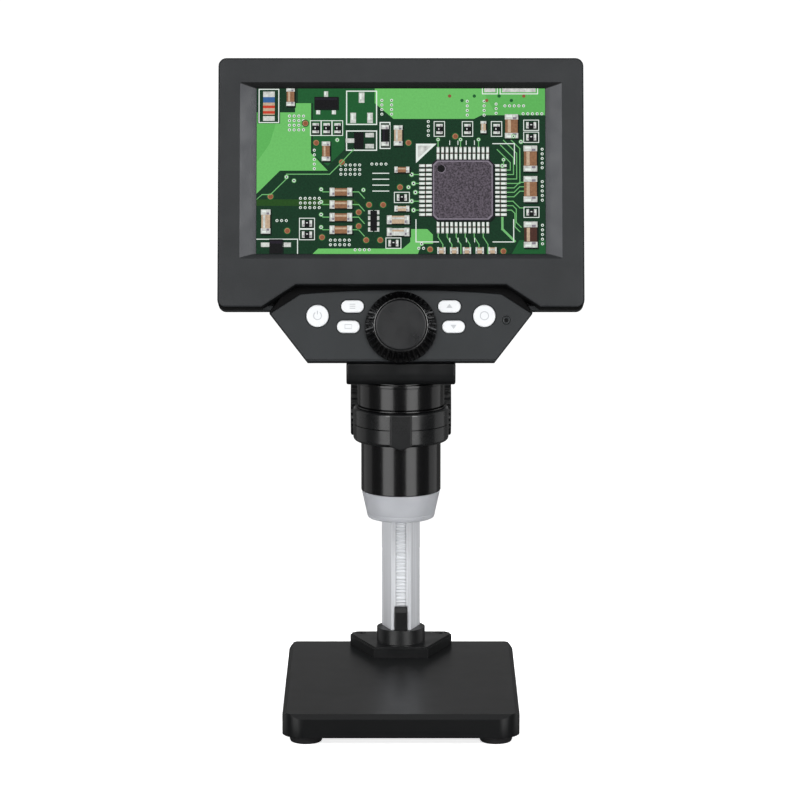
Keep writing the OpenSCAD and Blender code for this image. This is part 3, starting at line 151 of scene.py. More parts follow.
def carve(obj, cutters):
    """Cuts solids out of the object's mesh, one after another."""
    for shape in cutters:
        tool = to_object("cutter", shape)
        cut = obj.modifiers.new("cut", "BOOLEAN")
        cut.object = tool
        cut.solver = "EXACT"
        graph = bpy.context.evaluated_depsgraph_get()
        obj.data = bpy.data.meshes.new_from_object(obj.evaluated_get(graph))
        obj.modifiers.clear()
        bpy.data.objects.remove(tool)


def piece(name, shape, body, materials, place, replaces=None, smooth=35, cutters=()):
    """Makes a piece from a shape in millimetres, which stands at place and rides on body."""
    obj = to_object(name, shape, materials if isinstance(materials, list) else [materials])
    carve(obj, cutters)
    mesh = obj.data
    mesh.shade_smooth()
    mesh.set_sharp_from_angle(angle=math.radians(smooth))
    metres = place.copy()
    metres.translation = place.translation * MM
    obj.matrix_world = metres
    if smooth > 10:
        obj.modifiers.new("flat_faces", "WEIGHTED_NORMAL").keep_sharp = True
    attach(obj, body)
    if replaces:
        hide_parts(replaces)


def rounded(corners, steps=6, shift=0.0):
    """Points of an anticlockwise outline whose corners (a, b, radius) become arcs, moved inward by shift."""
    points = []
    for i, corner in enumerate(corners):
        p = Vector(corner[:2])
        before = (p - Vector(corners[i - 1][:2])).normalized()
        after = (Vector(corners[(i + 1) % len(corners)][:2]) - p).normalized()
        n1 = Vector((before.y, -before.x))
        n2 = Vector((after.y, -after.x))
        side = 1 if before.x * after.y - before.y * after.x > 0 else -1
        radius = max(corner[2] - side * shift, 0.02)
        angle = math.acos(max(-1.0, min(1.0, before.dot(after))))
        start = n1 * radius * side
        centre = p - (n1 + n2) * (shift / (1 + n1.dot(n2))) - before * radius * math.tan(angle / 2) - start
        points += [centre + Matrix.Rotation(side * angle * k / steps, 2) @ start for k in range(steps + 1)]
    return points


def box_corners(w, h, r, a=0.0, b=0.0):
    """Corners of a rounded rectangle round (a, b)."""
    return [(a + sa * w / 2, b + sb * h / 2, r) for sa, sb in ((-1, -1), (1, -1), (1, 1), (-1, 1))]


def circle(r, n=64, a=0.0, b=0.0):
    turns = [2 * math.pi * k / n for k in range(n)]
    return [Vector((a + r * math.cos(t), b + r * math.sin(t))) for t in turns]


def prism(outline, low, high, holes=(), edge_low=0.0, edge_high=0.0, hole_edge=0.0, steps=6, turn=3):
    """Solid between two depths. Outline and holes are corner lists, and the edges have their own radii."""
    shape = Shape()
    quarter = [math.pi / 2 * k / turn for k in range(turn + 1)]

    def rings(corners, sign, edge_a, edge_b):
        profile = [(edge_a * (1 - math.sin(a)), low + edge_a * (1 - math.cos(a)))
                   for a in (quarter if edge_a else [0.0])]
        profile += [(edge_b * (1 - math.cos(a)), high - edge_b * (1 - math.sin(a)))
                    for a in (quarter if edge_b else [0.0])]
        made = [shape.ring([(p.x, p.y, depth) for p in rounded(corners, steps, sign * inset)])
                for inset, depth in profile]
        shape.bridge_all(made)
        return made

    outer = rings(outline, 1, edge_low, edge_high)
    inner = [rings(h, -1, hole_edge, 0) for h in holes]
    shape.fill(outer[0], [h[0] for h in inner])
    shape.fill(outer[-1], [h[-1] for h in inner])
    return shape


def lathe(profile, n=96, closed=False):
    """Turns (radius, height) points round the Z axis. A radius of 0 is a single point."""
    shape = Shape()
    rings = [shape.ring([(p.x, p.y, z) for p in circle(r, n)] if r else [(0, 0, z)]) for r, z in profile]
    for a, b in zip(rings, rings[1:] + (rings[:1] if closed else [])):
        for i in range(n):
            j = i + 1
            corners = (a[i % len(a)], a[j % len(a)], b[j % len(b)], b[i % len(b)])
            shape.face(dict.fromkeys(corners))
    return shape


def soft(profile, r, steps=3):
    """Rounds the corners of an open (radius, height) profile by r."""
    out = [profile[0]]
    for before, p, after in zip(profile, profile[1:], profile[2:]):
        c = Vector(p)
        u, v = Vector(before) - c, Vector(after) - c
        reach = min(r, u.length * 0.45, v.length * 0.45)
        s, e = c + u.normalized() * reach, c + v.normalized() * reach
        for k in range(steps + 1):
            t = k / steps
            out.append(tuple(s * (1 - t) ** 2 + c * 2 * t * (1 - t) + e * t * t))
    return out + [profile[-1]]


def moved(shape, matrix):
    out = Shape()
    out.add(shape, matrix)
    return out


# ---- materials

def srgb(*levels):
    """A colour written in 0 to 255 display levels, as the linear one that shaders take."""
    shares = [c / 255 for c in levels]
    return tuple(c / 12.92 if c <= 0.04045 else ((c + 0.055) / 1.055) ** 2.4 for c in shares) + (1.0,)


def shade(colour, factor):
    return tuple(min(1.0, c * factor) for c in colour[:3]) + (1.0,)


class Nodes:
    """A material's node tree with a few short calls."""

    def __init__(self, name):
        self.mat = bpy.data.materials.new(name)
        self.mat.use_nodes = True
        self.tree = self.mat.node_tree
        self.bsdf = self.tree.nodes["Principled BSDF"]
        self.place = self.new("TexCoord").outputs["Object"]

    def new(self, kind, inputs=None, **values):
        node = self.tree.nodes.new("ShaderNode" + kind)
        for k, v in values.items():
            setattr(node, k, v)
        for k, v in (inputs or {}).items():
            node.inputs[k].default_value = v
        return node

    def link(self, a, b):
        self.tree.links.new(a, b)

    def feed(self, socket, source):
        """Drives one of the shader's own sockets."""
        self.link(source, self.bsdf.inputs[socket])

    def set(self, **sockets):
        for k, v in sockets.items():
            self.bsdf.inputs[k.replace("_", " ")].default_value = v

    def noise(self, scale, detail=2.0, stretch=(1, 1, 1), rough=0.5):
        tex = self.new("TexNoise", {"Scale": scale, "Detail": detail, "Roughness": rough})
        mapping = self.new("Mapping", {"Scale": stretch})
        self.link(self.place, mapping.inputs["Vector"])
        self.link(mapping.outputs["Vector"], tex.inputs["Vector"])
        return tex.outputs["Fac"]

    def ramp(self, source, low, high, start=0.3, end=0.7):
        """source's values from start to end become low to high: numbers or colours."""
        if isinstance(low, float):
            node = self.new("MapRange", {"From Min": start, "From Max": end, "To Min": low, "To Max": high})
            self.link(source, node.inputs["Value"])
            return node.outputs["Result"]
        node = self.new("ValToRGB")
        for stop, place, colour in zip(node.color_ramp.elements, (start, end), (low, high)):
            stop.position = place
            stop.color = colour
        self.link(source, node.inputs["Fac"])
        return node.outputs["Color"]

    def mottle(self, source, colour, low, high, *limits):
        """Base colour that wanders between two shades of one colour."""
        self.feed("Base Color", self.ramp(source, shade(colour, low), shade(colour, high), *limits))

    def bump(self, height, strength, distance):
        node = self.new("Bump", {"Strength": strength, "Distance": distance})
        self.link(height, node.inputs["Height"])
        self.feed("Normal", node.outputs["Normal"])


def moulded(name, colour, rough=0.45, grain=1500.0, depth=0.25, mottle=0.12, specular=0.5, coat=0.0,
            wander=0.05):
    """Moulded plastic: fine spark-eroded grain, faint mottling, and roughness that wanders a little."""
    n = Nodes(name)
    n.mottle(n.noise(35.0, 3.0), srgb(*colour), 1 - mottle, 1 + mottle)
    n.feed("Roughness", n.ramp(n.noise(90.0, 4.0), rough - wander, rough + wander))
    n.bump(n.noise(grain, 1.0), depth, 0.00006)
    n.set(Specular_IOR_Level=specular, Coat_Weight=coat, Coat_Roughness=0.15)
    return n.mat


def gloss(name, colour, rough, coat=0.6, wave=0.15, wander=0.12):
    """Polished plastic: a slight orange peel and fine handling marks."""
    n = Nodes(name)
    n.mottle(n.noise(25.0), srgb(*colour), 0.85, 1.2)
    n.feed("Roughness", n.ramp(n.noise(160.0, 4.0), rough, rough + wander, 0.35, 0.8))
    n.bump(n.noise(120.0, 1.0), wave, 0.00008)
    n.set(Coat_Weight=coat, Coat_Roughness=0.08)
    return n.mat


def metal(name, colour, rough=0.35, stretch=(1, 1, 1), grain=300.0, metallic=1.0):
    """Drawn or turned metal: fine lines along the axis with the smallest share in stretch."""
    n = Nodes(name)
    lines = n.noise(grain, 3.0, stretch)
    n.mottle(lines, srgb(*colour), 0.86, 1.1)
    n.feed("Roughness", n.ramp(lines, rough - 0.06, rough + 0.1))
    n.bump(lines, 0.15, 0.00003)
    n.set(Metallic=metallic)
    return n.mat


def lit(name, colour, speckle, grain=900.0, spread=0.2):
    """Part of the picture on the screen: it glows, and varies a little as a photographed surface does."""
    n = Nodes(name)
    colour = srgb(*colour)
    n.feed("Emission Color", n.ramp(n.noise(grain, 4.0, rough=0.7), shade(colour, 1 - speckle),
                                    shade(colour, 1 + speckle), 0.5 - spread, 0.5 + spread))
    n.set(Base_Color=(0.002, 0.002, 0.002, 1), Emission_Strength=1.0, Roughness=0.4, Specular_IOR_Level=0.06)
    return n.mat


def frosted(name):
    """Milky acrylic that lets light through and scatters it."""
    n = Nodes(name)
    n.feed("Base Color", n.ramp(n.noise(60.0, 3.0), srgb(190, 192, 197), srgb(204, 206, 211)))
    n.feed("Roughness", n.ramp(n.noise(200.0, 3.0), 0.3, 0.42))
    n.bump(n.noise(1200.0, 1.0), 0.1, 0.00005)
    n.set(Transmission_Weight=0.35, IOR=1.45, Subsurface_Weight=0.25, Subsurface_Scale=0.004,
          Subsurface_Radius=(1.0, 1.0, 1.0))
    return n.mat


def spun(name):
    """Spun disc: fine circles round the dial's axis, which draw its highlights out into rays."""
    n = Nodes(name)
    place = n.new("Mapping", {"Location": (0, 0, DIAL_DOWN * MM)})
    circles = n.new("TexWave", {"Scale": 600.0, "Distortion": 1.5, "Detail": 3.0},
                    wave_type="RINGS", rings_direction="Y", wave_profile="SIN")
    n.link(n.place, place.inputs["Vector"])
    n.link(place.outputs["Vector"], circles.inputs["Vector"])
    n.feed("Base Color", n.ramp(circles.outputs["Fac"], srgb(12, 13, 15), srgb(20, 21, 23), 0.2, 0.8))
    n.feed("Roughness", n.ramp(n.noise(90.0, 3.0), 0.26, 0.36))
    n.bump(circles.outputs["Fac"], 0.25, 0.00003)
    n.set(Metallic=0.35)
    return n.mat


CASE = moulded("case_charcoal", (33, 35, 37), 0.5, depth=0.35, specular=0.24)
# Darker copy of the case's plastic on the bezel's faces that look down: painted shade.
UNDERSIDE_SHADE = moulded("case_underside_painted_shade", (14, 15, 16), 0.6, depth=0.3, specular=0.08)
REAR = moulded("case_rear", (36, 38, 40), 0.5, depth=0.35, specular=0.22)
# Lighter copy of the case's plastic for the window's side slopes: painted light.
SLOPE_PAINTED_LIGHT = moulded("window_slope_painted_light", (49, 51, 55), 0.42, depth=0.2, specular=0.35)
SHADE = moulded("window_shade", (12, 13, 14), 0.6, depth=0.2, specular=0.3)
# Near-black on the panel's sunken strip, the groove at its foot and the indicator's small hole: painted
# shade.
RECESS_SHADE = moulded("recess_painted_shade", (3, 3, 4), 0.7, specular=0.15)
PANEL = moulded("panel_charcoal", (32, 35, 37), 0.42, specular=0.26)
NECK = moulded("neck_black", (14, 15, 16), 0.34, depth=0.12, specular=0.4)
BASE = moulded("base_black", (14, 15, 16), 0.33, 1300.0, 0.2, mottle=0.05, specular=0.3, wander=0.01)
LIP = moulded("cover_grey", (50, 51, 53), 0.5)
FOOT = moulded("foot_black", (15, 16, 17), 0.34, depth=0.18)
RUBBER = moulded("rubber", (22, 22, 24), 0.75, depth=0.5, grain=700.0)
HOLDER = moulded("holder_black", (13, 14, 15), 0.28, depth=0.08, coat=0.3)
TAB = moulded("tab_black", (15, 16, 17), 0.4, depth=0.3)
KNOB = moulded("knob_black", (18, 19, 20))
DIAL = moulded("dial_black", (8, 8, 9), 0.22, depth=0.04, coat=0.3)
BUTTON = moulded("button_white", (214, 216, 218), 0.35, depth=0.05, mottle=0.02)
ICON = moulded("icon_grey", (172, 175, 178), 0.4, mottle=0.03)
GREEN = moulded("solder_mask", (20, 92, 48), 0.35, grain=500.0)
BLUE = moulded("battery_wrap", (42, 92, 160), 0.3, grain=300.0)
PALE = moulded("white_board", (225, 226, 226))
YELLOW = moulded("phosphor", (240, 224, 150), 0.35)
BARREL_BLACK = gloss("barrel_black", (4, 4, 5), 0.2, coat=0.3, wave=0.02, wander=0.04)
GLASS_DARK = gloss("panel_glass", (10, 20, 14), 0.08)
LENS = gloss("lens_coating", (60, 66, 92), 0.05, wave=0.02)
COLUMN = metal("column_aluminium", (218, 220, 224), 0.4, stretch=(1, 1, 0.02), grain=700.0, metallic=0.2)
RACK = metal("rack_aluminium", (230, 232, 235), 0.42, stretch=(0.05, 1, 1), grain=700.0, metallic=0.1)
STEEL = metal("steel", (150, 152, 155))
BLACK_STEEL = metal("black_screw", (40, 41, 43), metallic=0.8)
BRASS = metal("brass", (186, 150, 84), 0.3)
FROST = frosted("frosted_cap")
DISC = spun("dial_disc")


# ---- base and column

def cad_finish(node, material, bevel):
    """A CAD node shown as it is, with its material and softened edges."""
    obj = frame["nodes"][node]
    obj.data.materials.clear()
    obj.data.materials.append(material)
    for p in obj.data.polygons:
        p.material_index = 0
    if bevel:
        obj.modifiers.new("weld", "WELD").merge_threshold = 2e-6
        edge = obj.modifiers.new("edge", "BEVEL")
        edge.width = bevel * MM
        edge.segments = 3
        edge.limit_method = "ANGLE"
        edge.angle_limit = math.radians(35)


def feet():
    low, high = span("rubber_feet")
    r = 8.75
    profile = soft([(0, 0.5), (5.4, 0.5), (5.8, 0.0), (r - 0.7, 0.0), (r - 0.1, 1.2), (r, 3.4),
                    (r - 0.3, high.z), (0, high.z)], 0.5)
    for side, x in (("left", low.x + r), ("right", high.x - r)):
        for end, y in (("front", low.y + r), ("rear", high.y - r)):
            piece(f"foot_{end}_{side}", lathe(profile, 64), "stand", RUBBER, at(x, y), "rubber_feet")


# ---- carriage, ring and knobs

RING_R, RING_BORE = 25.75, 23.05
RING_LOW, RING_SEAM, RING_TOP = 145.3, 154.5, 163.7
SEAM_HALF = 0.1


def ring_half(name, z0, z1, round_low, round_high):
    corners = [(RING_BORE, z0, 0.3), (RING_R, z0, round_low), (RING_R, z1, round_high), (RING_BORE, z1, 0.3)]
    piece(name, lathe(rounded(corners, 5), 128, closed=True), "carriage", HOLDER, BARREL, name)


def tab():
    """Shield on the ring, with a rail down each side and a field of small pips between them."""
    low, high = span("ring_tab")
    w = (high.x - low.x) / 2
    shoulder = low.z + 1.9
    outline = [(-w, shoulder, 0.9), (0, low.z, 1.5), (w, shoulder, 0.9), (w, high.z, 0.9), (-w, high.z, 0.9)]
    plate = prism(outline, low.y + 0.3, high.y - 1.0, edge_low=0.5)
    foot, top = shoulder + 0.6, high.z - 0.5
    for side in (-1, 1):
        rail = box_corners(0.9, top - foot, 0.3, side * (w - 0.55), (top + foot) / 2)
        plate.add(prism(rail, low.y, low.y + 1.0, edge_low=0.25, turn=2))
    pip = lathe([(0.42, low.y + 1.0), (0.42, low.y + 0.2), (0.3, low.y + 0.07), (0, low.y + 0.02)], 12)
    for row in range(7):
        for k in range(-2, 3):
            plate.add(pip, at((k + 0.25 - 0.5 * (row % 2)) * 1.6, high.z - 1.4 - 1.35 * row))
    piece("ring_tab_cover", moved(plate, FACING), "carriage", TAB, WORLD, "ring_tab")


def knob(name, side):
    """Knurled disc, its hub and the shallow dish in its outer face."""
    r, ridges, per = 15.0, 28, 8
    inner, outer = 22.2, 27.4
    n = ridges * per
    shape = Shape()

    def ring(radius, x, depth=0.0):
        pts = []
        for k in range(n):
            a = 2 * math.pi * k / n
            q = radius - depth * (0.5 - 0.5 * math.cos(2 * math.pi * (k % per) / per)) ** 0.7
            pts.append((side * x, q * math.cos(a), q * math.sin(a)))
        return shape.ring(pts)
    rows = [(4.2, 18.3), (6.2, 18.3), (6.5, 18.6), (6.5, inner - 0.3), (6.9, inner), (13.9, inner),
            (14.6, inner + 0.2, 0.3), (r, inner + 0.7, 0.75), (r, outer - 0.8, 0.75),
            (14.7, outer - 0.25, 0.45), (14.1, outer, 0.05), (13.1, outer), (12.7, outer - 0.15),
            (12.4, outer - 0.6), (3.4, outer - 0.6), (3.0, outer - 0.8), (0.8, outer - 0.8)]
    rings = [ring(*row) for row in rows]
    shape.bridge_all(rings)
    shape.face(rings[-1])
    shape.face(rings[0])
    piece(name + "_cover", shape, "height_drive", KNOB, KNOBS, name)


# ---- barrel and light cap

SHELL_R, BAND_R, FLANGE_R = 21.5, 23.5, 24.45
FLANGE_LOW, FLANGE_TOP = 177.05, 178.65
BUSH_LIP = 164.0


def tube(node, edge, profile, body="head"):
    """Glossy piece turned round the barrel's axis, with its edges rounded."""
    shape = lathe(soft(profile, edge), 128, closed=True)
    piece(node + "_shell", shape, body, BARREL_BLACK, BARREL, node)


def barrel():
    low, high = span("barrel_upper")
    neck_low = span("neck_block")[0].z
    tube("barrel_upper", 0.28, [(19.6, low.z), (23.2, low.z), (BAND_R, low.z + 0.3), (BAND_R, FLANGE_LOW),
                                (FLANGE_R, FLANGE_LOW), (FLANGE_R, FLANGE_TOP), (22.7, FLANGE_TOP),
                                (22.7, neck_low), (SHELL_R, neck_low), (SHELL_R, high.z), (19.6, high.z)])
    low, high = span("barrel_lower")
    tube("barrel_lower", 0.25, [(19.5, low.z), (21.2, low.z), (SHELL_R, low.z + 0.35), (SHELL_R, high.z),
                                (19.5, high.z)])
    low, high = span("barrel_bush")
    tube("barrel_bush", 0.15, [(21.55, low.z), (23.0, low.z), (23.0, BUSH_LIP), (24.3, BUSH_LIP),
                               (24.3, high.z), (21.55, high.z)], "swivel_bush")


def light_cap():
    low, high = span("led_cap")
    seam = low.z + 3.1
    hole = 9.0
    profile = [(hole, low.z + 0.6), (hole + 0.6, low.z), (16.9, low.z), (17.8, low.z + 0.35),
               (18.25, low.z + 1.4), (18.55, seam - 0.25), (18.35, seam - 0.1), (18.35, seam + 0.1),
               (18.6, seam + 0.25), (20.9, 116.2), (21.1, 117.1), (21.1, 117.55), (19.4, 117.7),
               (19.4, high.z), (17.6, high.z), (17.6, 106.5), (16.2, 104.6), (hole, 104.6)]
    piece("light_cap", lathe(soft(profile, 0.25), 128, closed=True), "head", FROST, BARREL, "led_cap")


# ---- head

BEZEL_FRONT, BEZEL_BACK = -3.0, 6.0
HEAD_W, HEAD_UP, HEAD_DOWN = 97.5, 60.9, 73.9
BEZEL_OUTLINE = [(-HEAD_W, -HEAD_DOWN, 4.3), (-74.0, -HEAD_DOWN, 0.8), (-55.9, -61.9, 1.0),
                 (55.9, -61.9, 1.0), (74.0, -HEAD_DOWN, 0.8), (HEAD_W, -HEAD_DOWN, 4.3),
                 (HEAD_W, HEAD_UP, 4.3), (-HEAD_W, HEAD_UP, 4.3)]
PICTURE_W, PICTURE_H = 154.0, 89.4
WINDOW_W, WINDOW_H = 171.6, 95.0
GLASS_Y = -0.05
# The case's plastic, then copies of it: painted light on the window's sides, painted shade above the picture
# and painted shade underneath.
BEZEL_LOOKS = [CASE, SLOPE_PAINTED_LIGHT, SHADE, UNDERSIDE_SHADE]


def bezel():
    """Frame round the screen: rounded edge, flat face, and slopes that lead down to the picture."""
    shape = Shape()
    edge, rim_w = 1.4, 2.0

    def outline(inset, y):
        return shape.ring([(p.x, y, p.y) for p in rounded(BEZEL_OUTLINE, 6, inset)])

    def window(w, h, y, r=0.5):
        return shape.ring([(p.x, y, p.y) for p in rounded(box_corners(w, h, r), 3)])

    def side_look(corners):
        """The outer faces that look down take a darker copy of the case's plastic: painted shade."""
        return BEZEL_LOOKS.index(UNDERSIDE_SHADE if (corners[1] - corners[0]).normalized().x > 0.5 else CASE)

    def slope_look(corners):
        """The slope above the picture takes a darker copy of the case's plastic, painted shade; the one below
        it is like the case; the others take a lighter copy, painted light.
        """
        if all(c.z > PICTURE_H / 2 - 0.5 for c in corners):
            return BEZEL_LOOKS.index(SHADE)
        return BEZEL_LOOKS.index(CASE if all(c.z < 0.5 - PICTURE_H / 2 for c in corners) else SLOPE_PAINTED_LIGHT)

    rings = [outline(0, BEZEL_BACK)]
    for k in range(6):
        a = math.pi / 2 * k / 5
        rings.append(outline(edge * (1 - math.cos(a)), BEZEL_FRONT + edge * (1 - math.sin(a))))
    for step, (a, b) in enumerate(zip(rings, rings[1:])):
        shape.bridge(a, b, side_look if step < 4 else None)
    lip = window(WINDOW_W + 0.5, WINDOW_H + 0.5, BEZEL_FRONT)
    shape.fill(rings[-1], [lip])
    lip_low = window(WINDOW_W, WINDOW_H, BEZEL_FRONT + 0.15)
    shape.bridge(lip, lip_low)
    crease = window(PICTURE_W + 7.0, PICTURE_H + 2.0, -1.55, 0.4)
    foot = window(PICTURE_W + 0.5, PICTURE_H + 0.3, -0.35, 0.3)
    sill = window(PICTURE_W, PICTURE_H, GLASS_Y, 0.3)
    for a, b in ((lip_low, crease), (crease, foot), (foot, sill)):
        shape.bridge(a, b, slope_look)
    inner = outline(rim_w, GLASS_Y)
    shape.fill(inner, [sill])
    rim = outline(rim_w, BEZEL_BACK)
    shape.bridge_all([inner, rim, rings[0]])
    piece("bezel", shape, "head", BEZEL_LOOKS, HEAD, "front_bezel")


PANEL_FRONT = 6.0
PANEL_SINK = 1.2
ARCH_W, ARCH_FOOT, ARCH_RISE = 53.6, -65.4, 2.4
ARCH_AT = [1 - k / 6 for k in range(13)]
FACE_OUTLINE = [(-49.8, -101.4, 2.2), (49.8, -101.4, 2.2), (69.6, -75.8, 1.2),
                *((ARCH_W * t, ARCH_FOOT + ARCH_RISE * (1 - t * t), 0.6) for t in ARCH_AT),
                (-69.6, -75.8, 1.2)]
INDICATOR = (56.1, -79.4)
ROUND, OVAL = (12.0, 12.0), (12.3, 6.75)
# Node, place and size
KEYS = [("power_button", -44.4, -77.2, ROUND), ("ok_button", 44.4, -77.2, ROUND),
        ("menu_button", -25.8, -72.1, OVAL), ("up_button", 25.8, -72.1, OVAL),
        ("mode_button", -28.0, -83.0, OVAL), ("down_button", 28.0, -83.0, OVAL)]
KEY_FRONT = 4.8
KEY_GAP = 0.3


def panel():
    """Face with round holes, the sunken strip between it and the bezel, and the groove at its foot."""
    holes = [box_corners(w + 2 * KEY_GAP, h + 2 * KEY_GAP, h / 2 + KEY_GAP, a, b) for _, a, b, (w, h) in KEYS]
    holes += [box_corners(11, 11, 5.5, 0, -DIAL_DOWN), box_corners(4.5, 4.5, 2.25, *INDICATOR)]
    plate = prism(FACE_OUTLINE, PANEL_FRONT, PANEL_FRONT + 2.0, holes, edge_low=0.45, hole_edge=0.25, steps=8)
    border = [(-69.9, -75.4, 0.3), (-53.4, -66.6, 0.2), (53.4, -66.6, 0.2), (69.9, -75.4, 0.3),
              (57.9, -57.9, 0.5), (-57.9, -57.9, 0.5)]
    sunk = PANEL_FRONT + PANEL_SINK
    # The sunken strip and the groove below take near-black, painted shade.
    plate.add(prism(border, sunk, PANEL_FRONT + 1.9, edge_low=0.1, steps=3, turn=2), tag=1)
    groove = [(-50.4, -100.55, 0.05), (50.4, -100.55, 0.05), (50.55, -100.3, 0.05), (-50.55, -100.3, 0.05)]
    plate.add(prism(groove, PANEL_FRONT - 0.02, PANEL_FRONT + 0.3, steps=1), tag=1)
    piece("control_panel_face", moved(plate, FACING), "head", [PANEL, RECESS_SHADE], HEAD, "control_panel")


def indicator():
    """Ring flush with the panel's face, and the small near-black dish in its middle: painted shade for the
    light's hole.
    """
    front = PANEL_FRONT + 0.05
    ring = lathe(soft([(0, front + 2.0), (2.1, front + 2.0), (2.1, front), (1.15, front + 0.1),
                       (0.8, front + 0.5)], 0.12), 48)
    ring.add(lathe([(0.85, front + 0.45), (0.5, front + 0.3), (0, front + 0.25)], 48), tag=1)
    piece("indicator_ring", moved(ring, FACING @ at(*INDICATOR)), "head", [PANEL, RECESS_SHADE], HEAD,
          "indicator_light")


SYMBOL_H = 0.3


def arc(r, opening, n=28):
    """Points of a circle that is open at its top by the opening angle."""
    start = math.pi / 2 + opening / 2
    turns = [start + (2 * math.pi - opening) * k / n for k in range(n + 1)]
    return [(r * math.cos(t), r * math.sin(t)) for t in turns]


def strip(shape, points, w):
    """A raised line of width w along points."""
    rows = []
    pts = [Vector(p) for p in points]
    for i, p in enumerate(pts):
        d = (pts[min(i + 1, len(pts) - 1)] - pts[max(i - 1, 0)]).normalized()
        side = Vector((-d.y, d.x)) * w / 2
        a, b = p - side, p + side
        rows.append(shape.ring([(*a, SYMBOL_H), (*a, 0), (*b, 0), (*b, SYMBOL_H)]))
    shape.bridge_all(rows)
    shape.face(rows[0])
    shape.face(rows[-1])


def symbol(node):
    """A key's plain symbol, round the origin."""
    shape = Shape()
    if node == "power_button":
        strip(shape, arc(2.1, 1.2), 0.45)
        strip(shape, [(0, 0.7), (0, 2.7)], 0.45)
    elif node == "ok_button":
        strip(shape, arc(2.2, 0.0), 0.45)
    elif node == "menu_button":
        for b in (-1.1, 0, 1.1):
            strip(shape, [(-1.5, b), (1.5, b)], 0.4)
    elif node == "mode_button":
        strip(shape, [(-1.8, -1.1), (1.8, -1.1), (1.8, 1.1), (-1.8, 1.1), (-1.8, -1.1)], 0.35)
    else:
        up = 1 if node == "up_button" else -1
        low, high = [shape.ring([(-1.6, -0.9 * up, z), (1.6, -0.9 * up, z), (0, 1.3 * up, z)])
                     for z in (0, SYMBOL_H)]
        shape.bridge(low, high)
        shape.face(low)
        shape.face(high)
    return shape


def buttons():
    for node, a, b, (w, h) in KEYS:
        outline = box_corners(w - 0.1, h - 0.1, (h - 0.1) / 2, a, b)
        key = prism(outline, KEY_FRONT, KEY_FRONT + 3.3, edge_low=0.7, steps=14)
        key.add(symbol(node), at(a, b, KEY_FRONT - 0.12), tag=1)
        piece(node + "_cap", moved(key, FACING), node.replace("button", "key"), [BUTTON, ICON], HEAD, node)


def dial():
    """Knurled cone with a raised rim, and the disc set in its front."""
    ridges, per, rows = 36, 8, 14
    n = ridges * per
    back, front = 5.7, -4.2
    r_foot, r_front = 19.1, 14.35
    shape = Shape()

    def ring(radius, y, depth=0.0):
        pts = []
        for k in range(n):
            cut = min(1.0, max(0.0, 1.9 * abs(2 * (k / per % 1.0) - 1) - 0.55))
            a = 2 * math.pi * k / n
            q = radius - depth * cut
            pts.append((q * math.sin(a), y, q * math.cos(a) - DIAL_DOWN))
        return shape.ring(pts)
    rings = [ring(4.0, back), ring(r_foot - 0.3, back), ring(r_foot, back - 0.3),
             ring(r_foot, back - 0.8, 0.3)]
    for k in range(rows + 1):
        t = k / rows
        y = back - 1.2 - (back - 1.2 - (front + 0.9)) * t
        radius = r_foot - (r_foot - r_front - 0.5) * max(0.0, (t - 0.12) / 0.88) ** 1.1
        rings.append(ring(radius, y, 1.5 * min(1.0, 6 * t, 7 * (1 - t))))
    rings += [ring(r_front + 0.35, front + 0.45, 0.25), ring(r_front, front + 0.1),
              ring(r_front - 0.25, front), ring(13.85, front), ring(13.7, front + 0.15),
              ring(13.6, front + 0.9), ring(4.0, front + 0.9)]
    shape.bridge_all(rings + rings[:1])
    piece("focus_dial_grip", shape, "focus_drive", DIAL, HEAD, "focus_dial")
    disc = lathe(soft([(0, 0.9), (13.4, 0.9), (13.5, 0.35), (13.2, 0.05), (12.7, 0.0), (0, 0.0)], 0.15), 96)
    turned = moved(disc, FACING @ at(0, -DIAL_DOWN, front + 0.12))
    piece("dial_disc_face", turned, "focus_drive", DISC, HEAD, "dial_disc")


NECK_TOP, NECK_FOOT, NECK_BACK_TOP = -40.0, -101.6, 220.0
CASE_DEPTH = 15.0
BORE_R = 21.6


def neck():
    """Hollow block between the case and the barrel, open to the case, with the barrel's bore in its floor."""
    low, high = span("neck_block")
    wall, lean = 2.4, 1.2
    back, front = high.y - wall, low.y + lean + wall

    def head_point(depth, up):
        p = HEAD @ Vector((0, depth, up))
        return p.y, p.z
    low_back = head_point(CASE_DEPTH, NECK_FOOT)
    shelf = low_back[1] + (low_back[0] - low.y) * math.tan(TILT)
    outline = [(low.y + lean, low.z, 4.5), (high.y, low.z, 2.4), (high.y, NECK_BACK_TOP, 2.0),
               (*head_point(CASE_DEPTH, NECK_TOP), 0.4), (*low_back, 0.3), (low.y, shelf, 1.2),
               (low.y, (low.z + shelf) / 2, 12.0)]
    inner = [(front, low.z + wall, 2.0), (back, low.z + wall, 1.0), (back, NECK_BACK_TOP - wall / 2, 1.0),
             (*head_point(CASE_DEPTH - 2, NECK_TOP - wall), 0.3),
             (*head_point(CASE_DEPTH - 2, NECK_FOOT + wall), 0.3),
             (*head_point(CASE_DEPTH + 1.5, NECK_FOOT), 0.3), (front, low_back[1] - wall - 1, 1.0)]
    body = prism(outline, low.x, high.x, edge_low=1.1, edge_high=1.1, steps=8, turn=5)
    cavity = prism(inner, low.x + wall, high.x - wall, steps=2)
    bore = lathe([(0, low.z - 1), (BORE_R, low.z - 1), (BORE_R, low.z + wall + 1), (0, low.z + wall + 1)], 96)
    piece("neck_cover", moved(body, ACROSS), "head", NECK, WORLD, "neck_block",
          cutters=[moved(cavity, ACROSS), moved(bore, BARREL)])


# ---- the picture on the screen

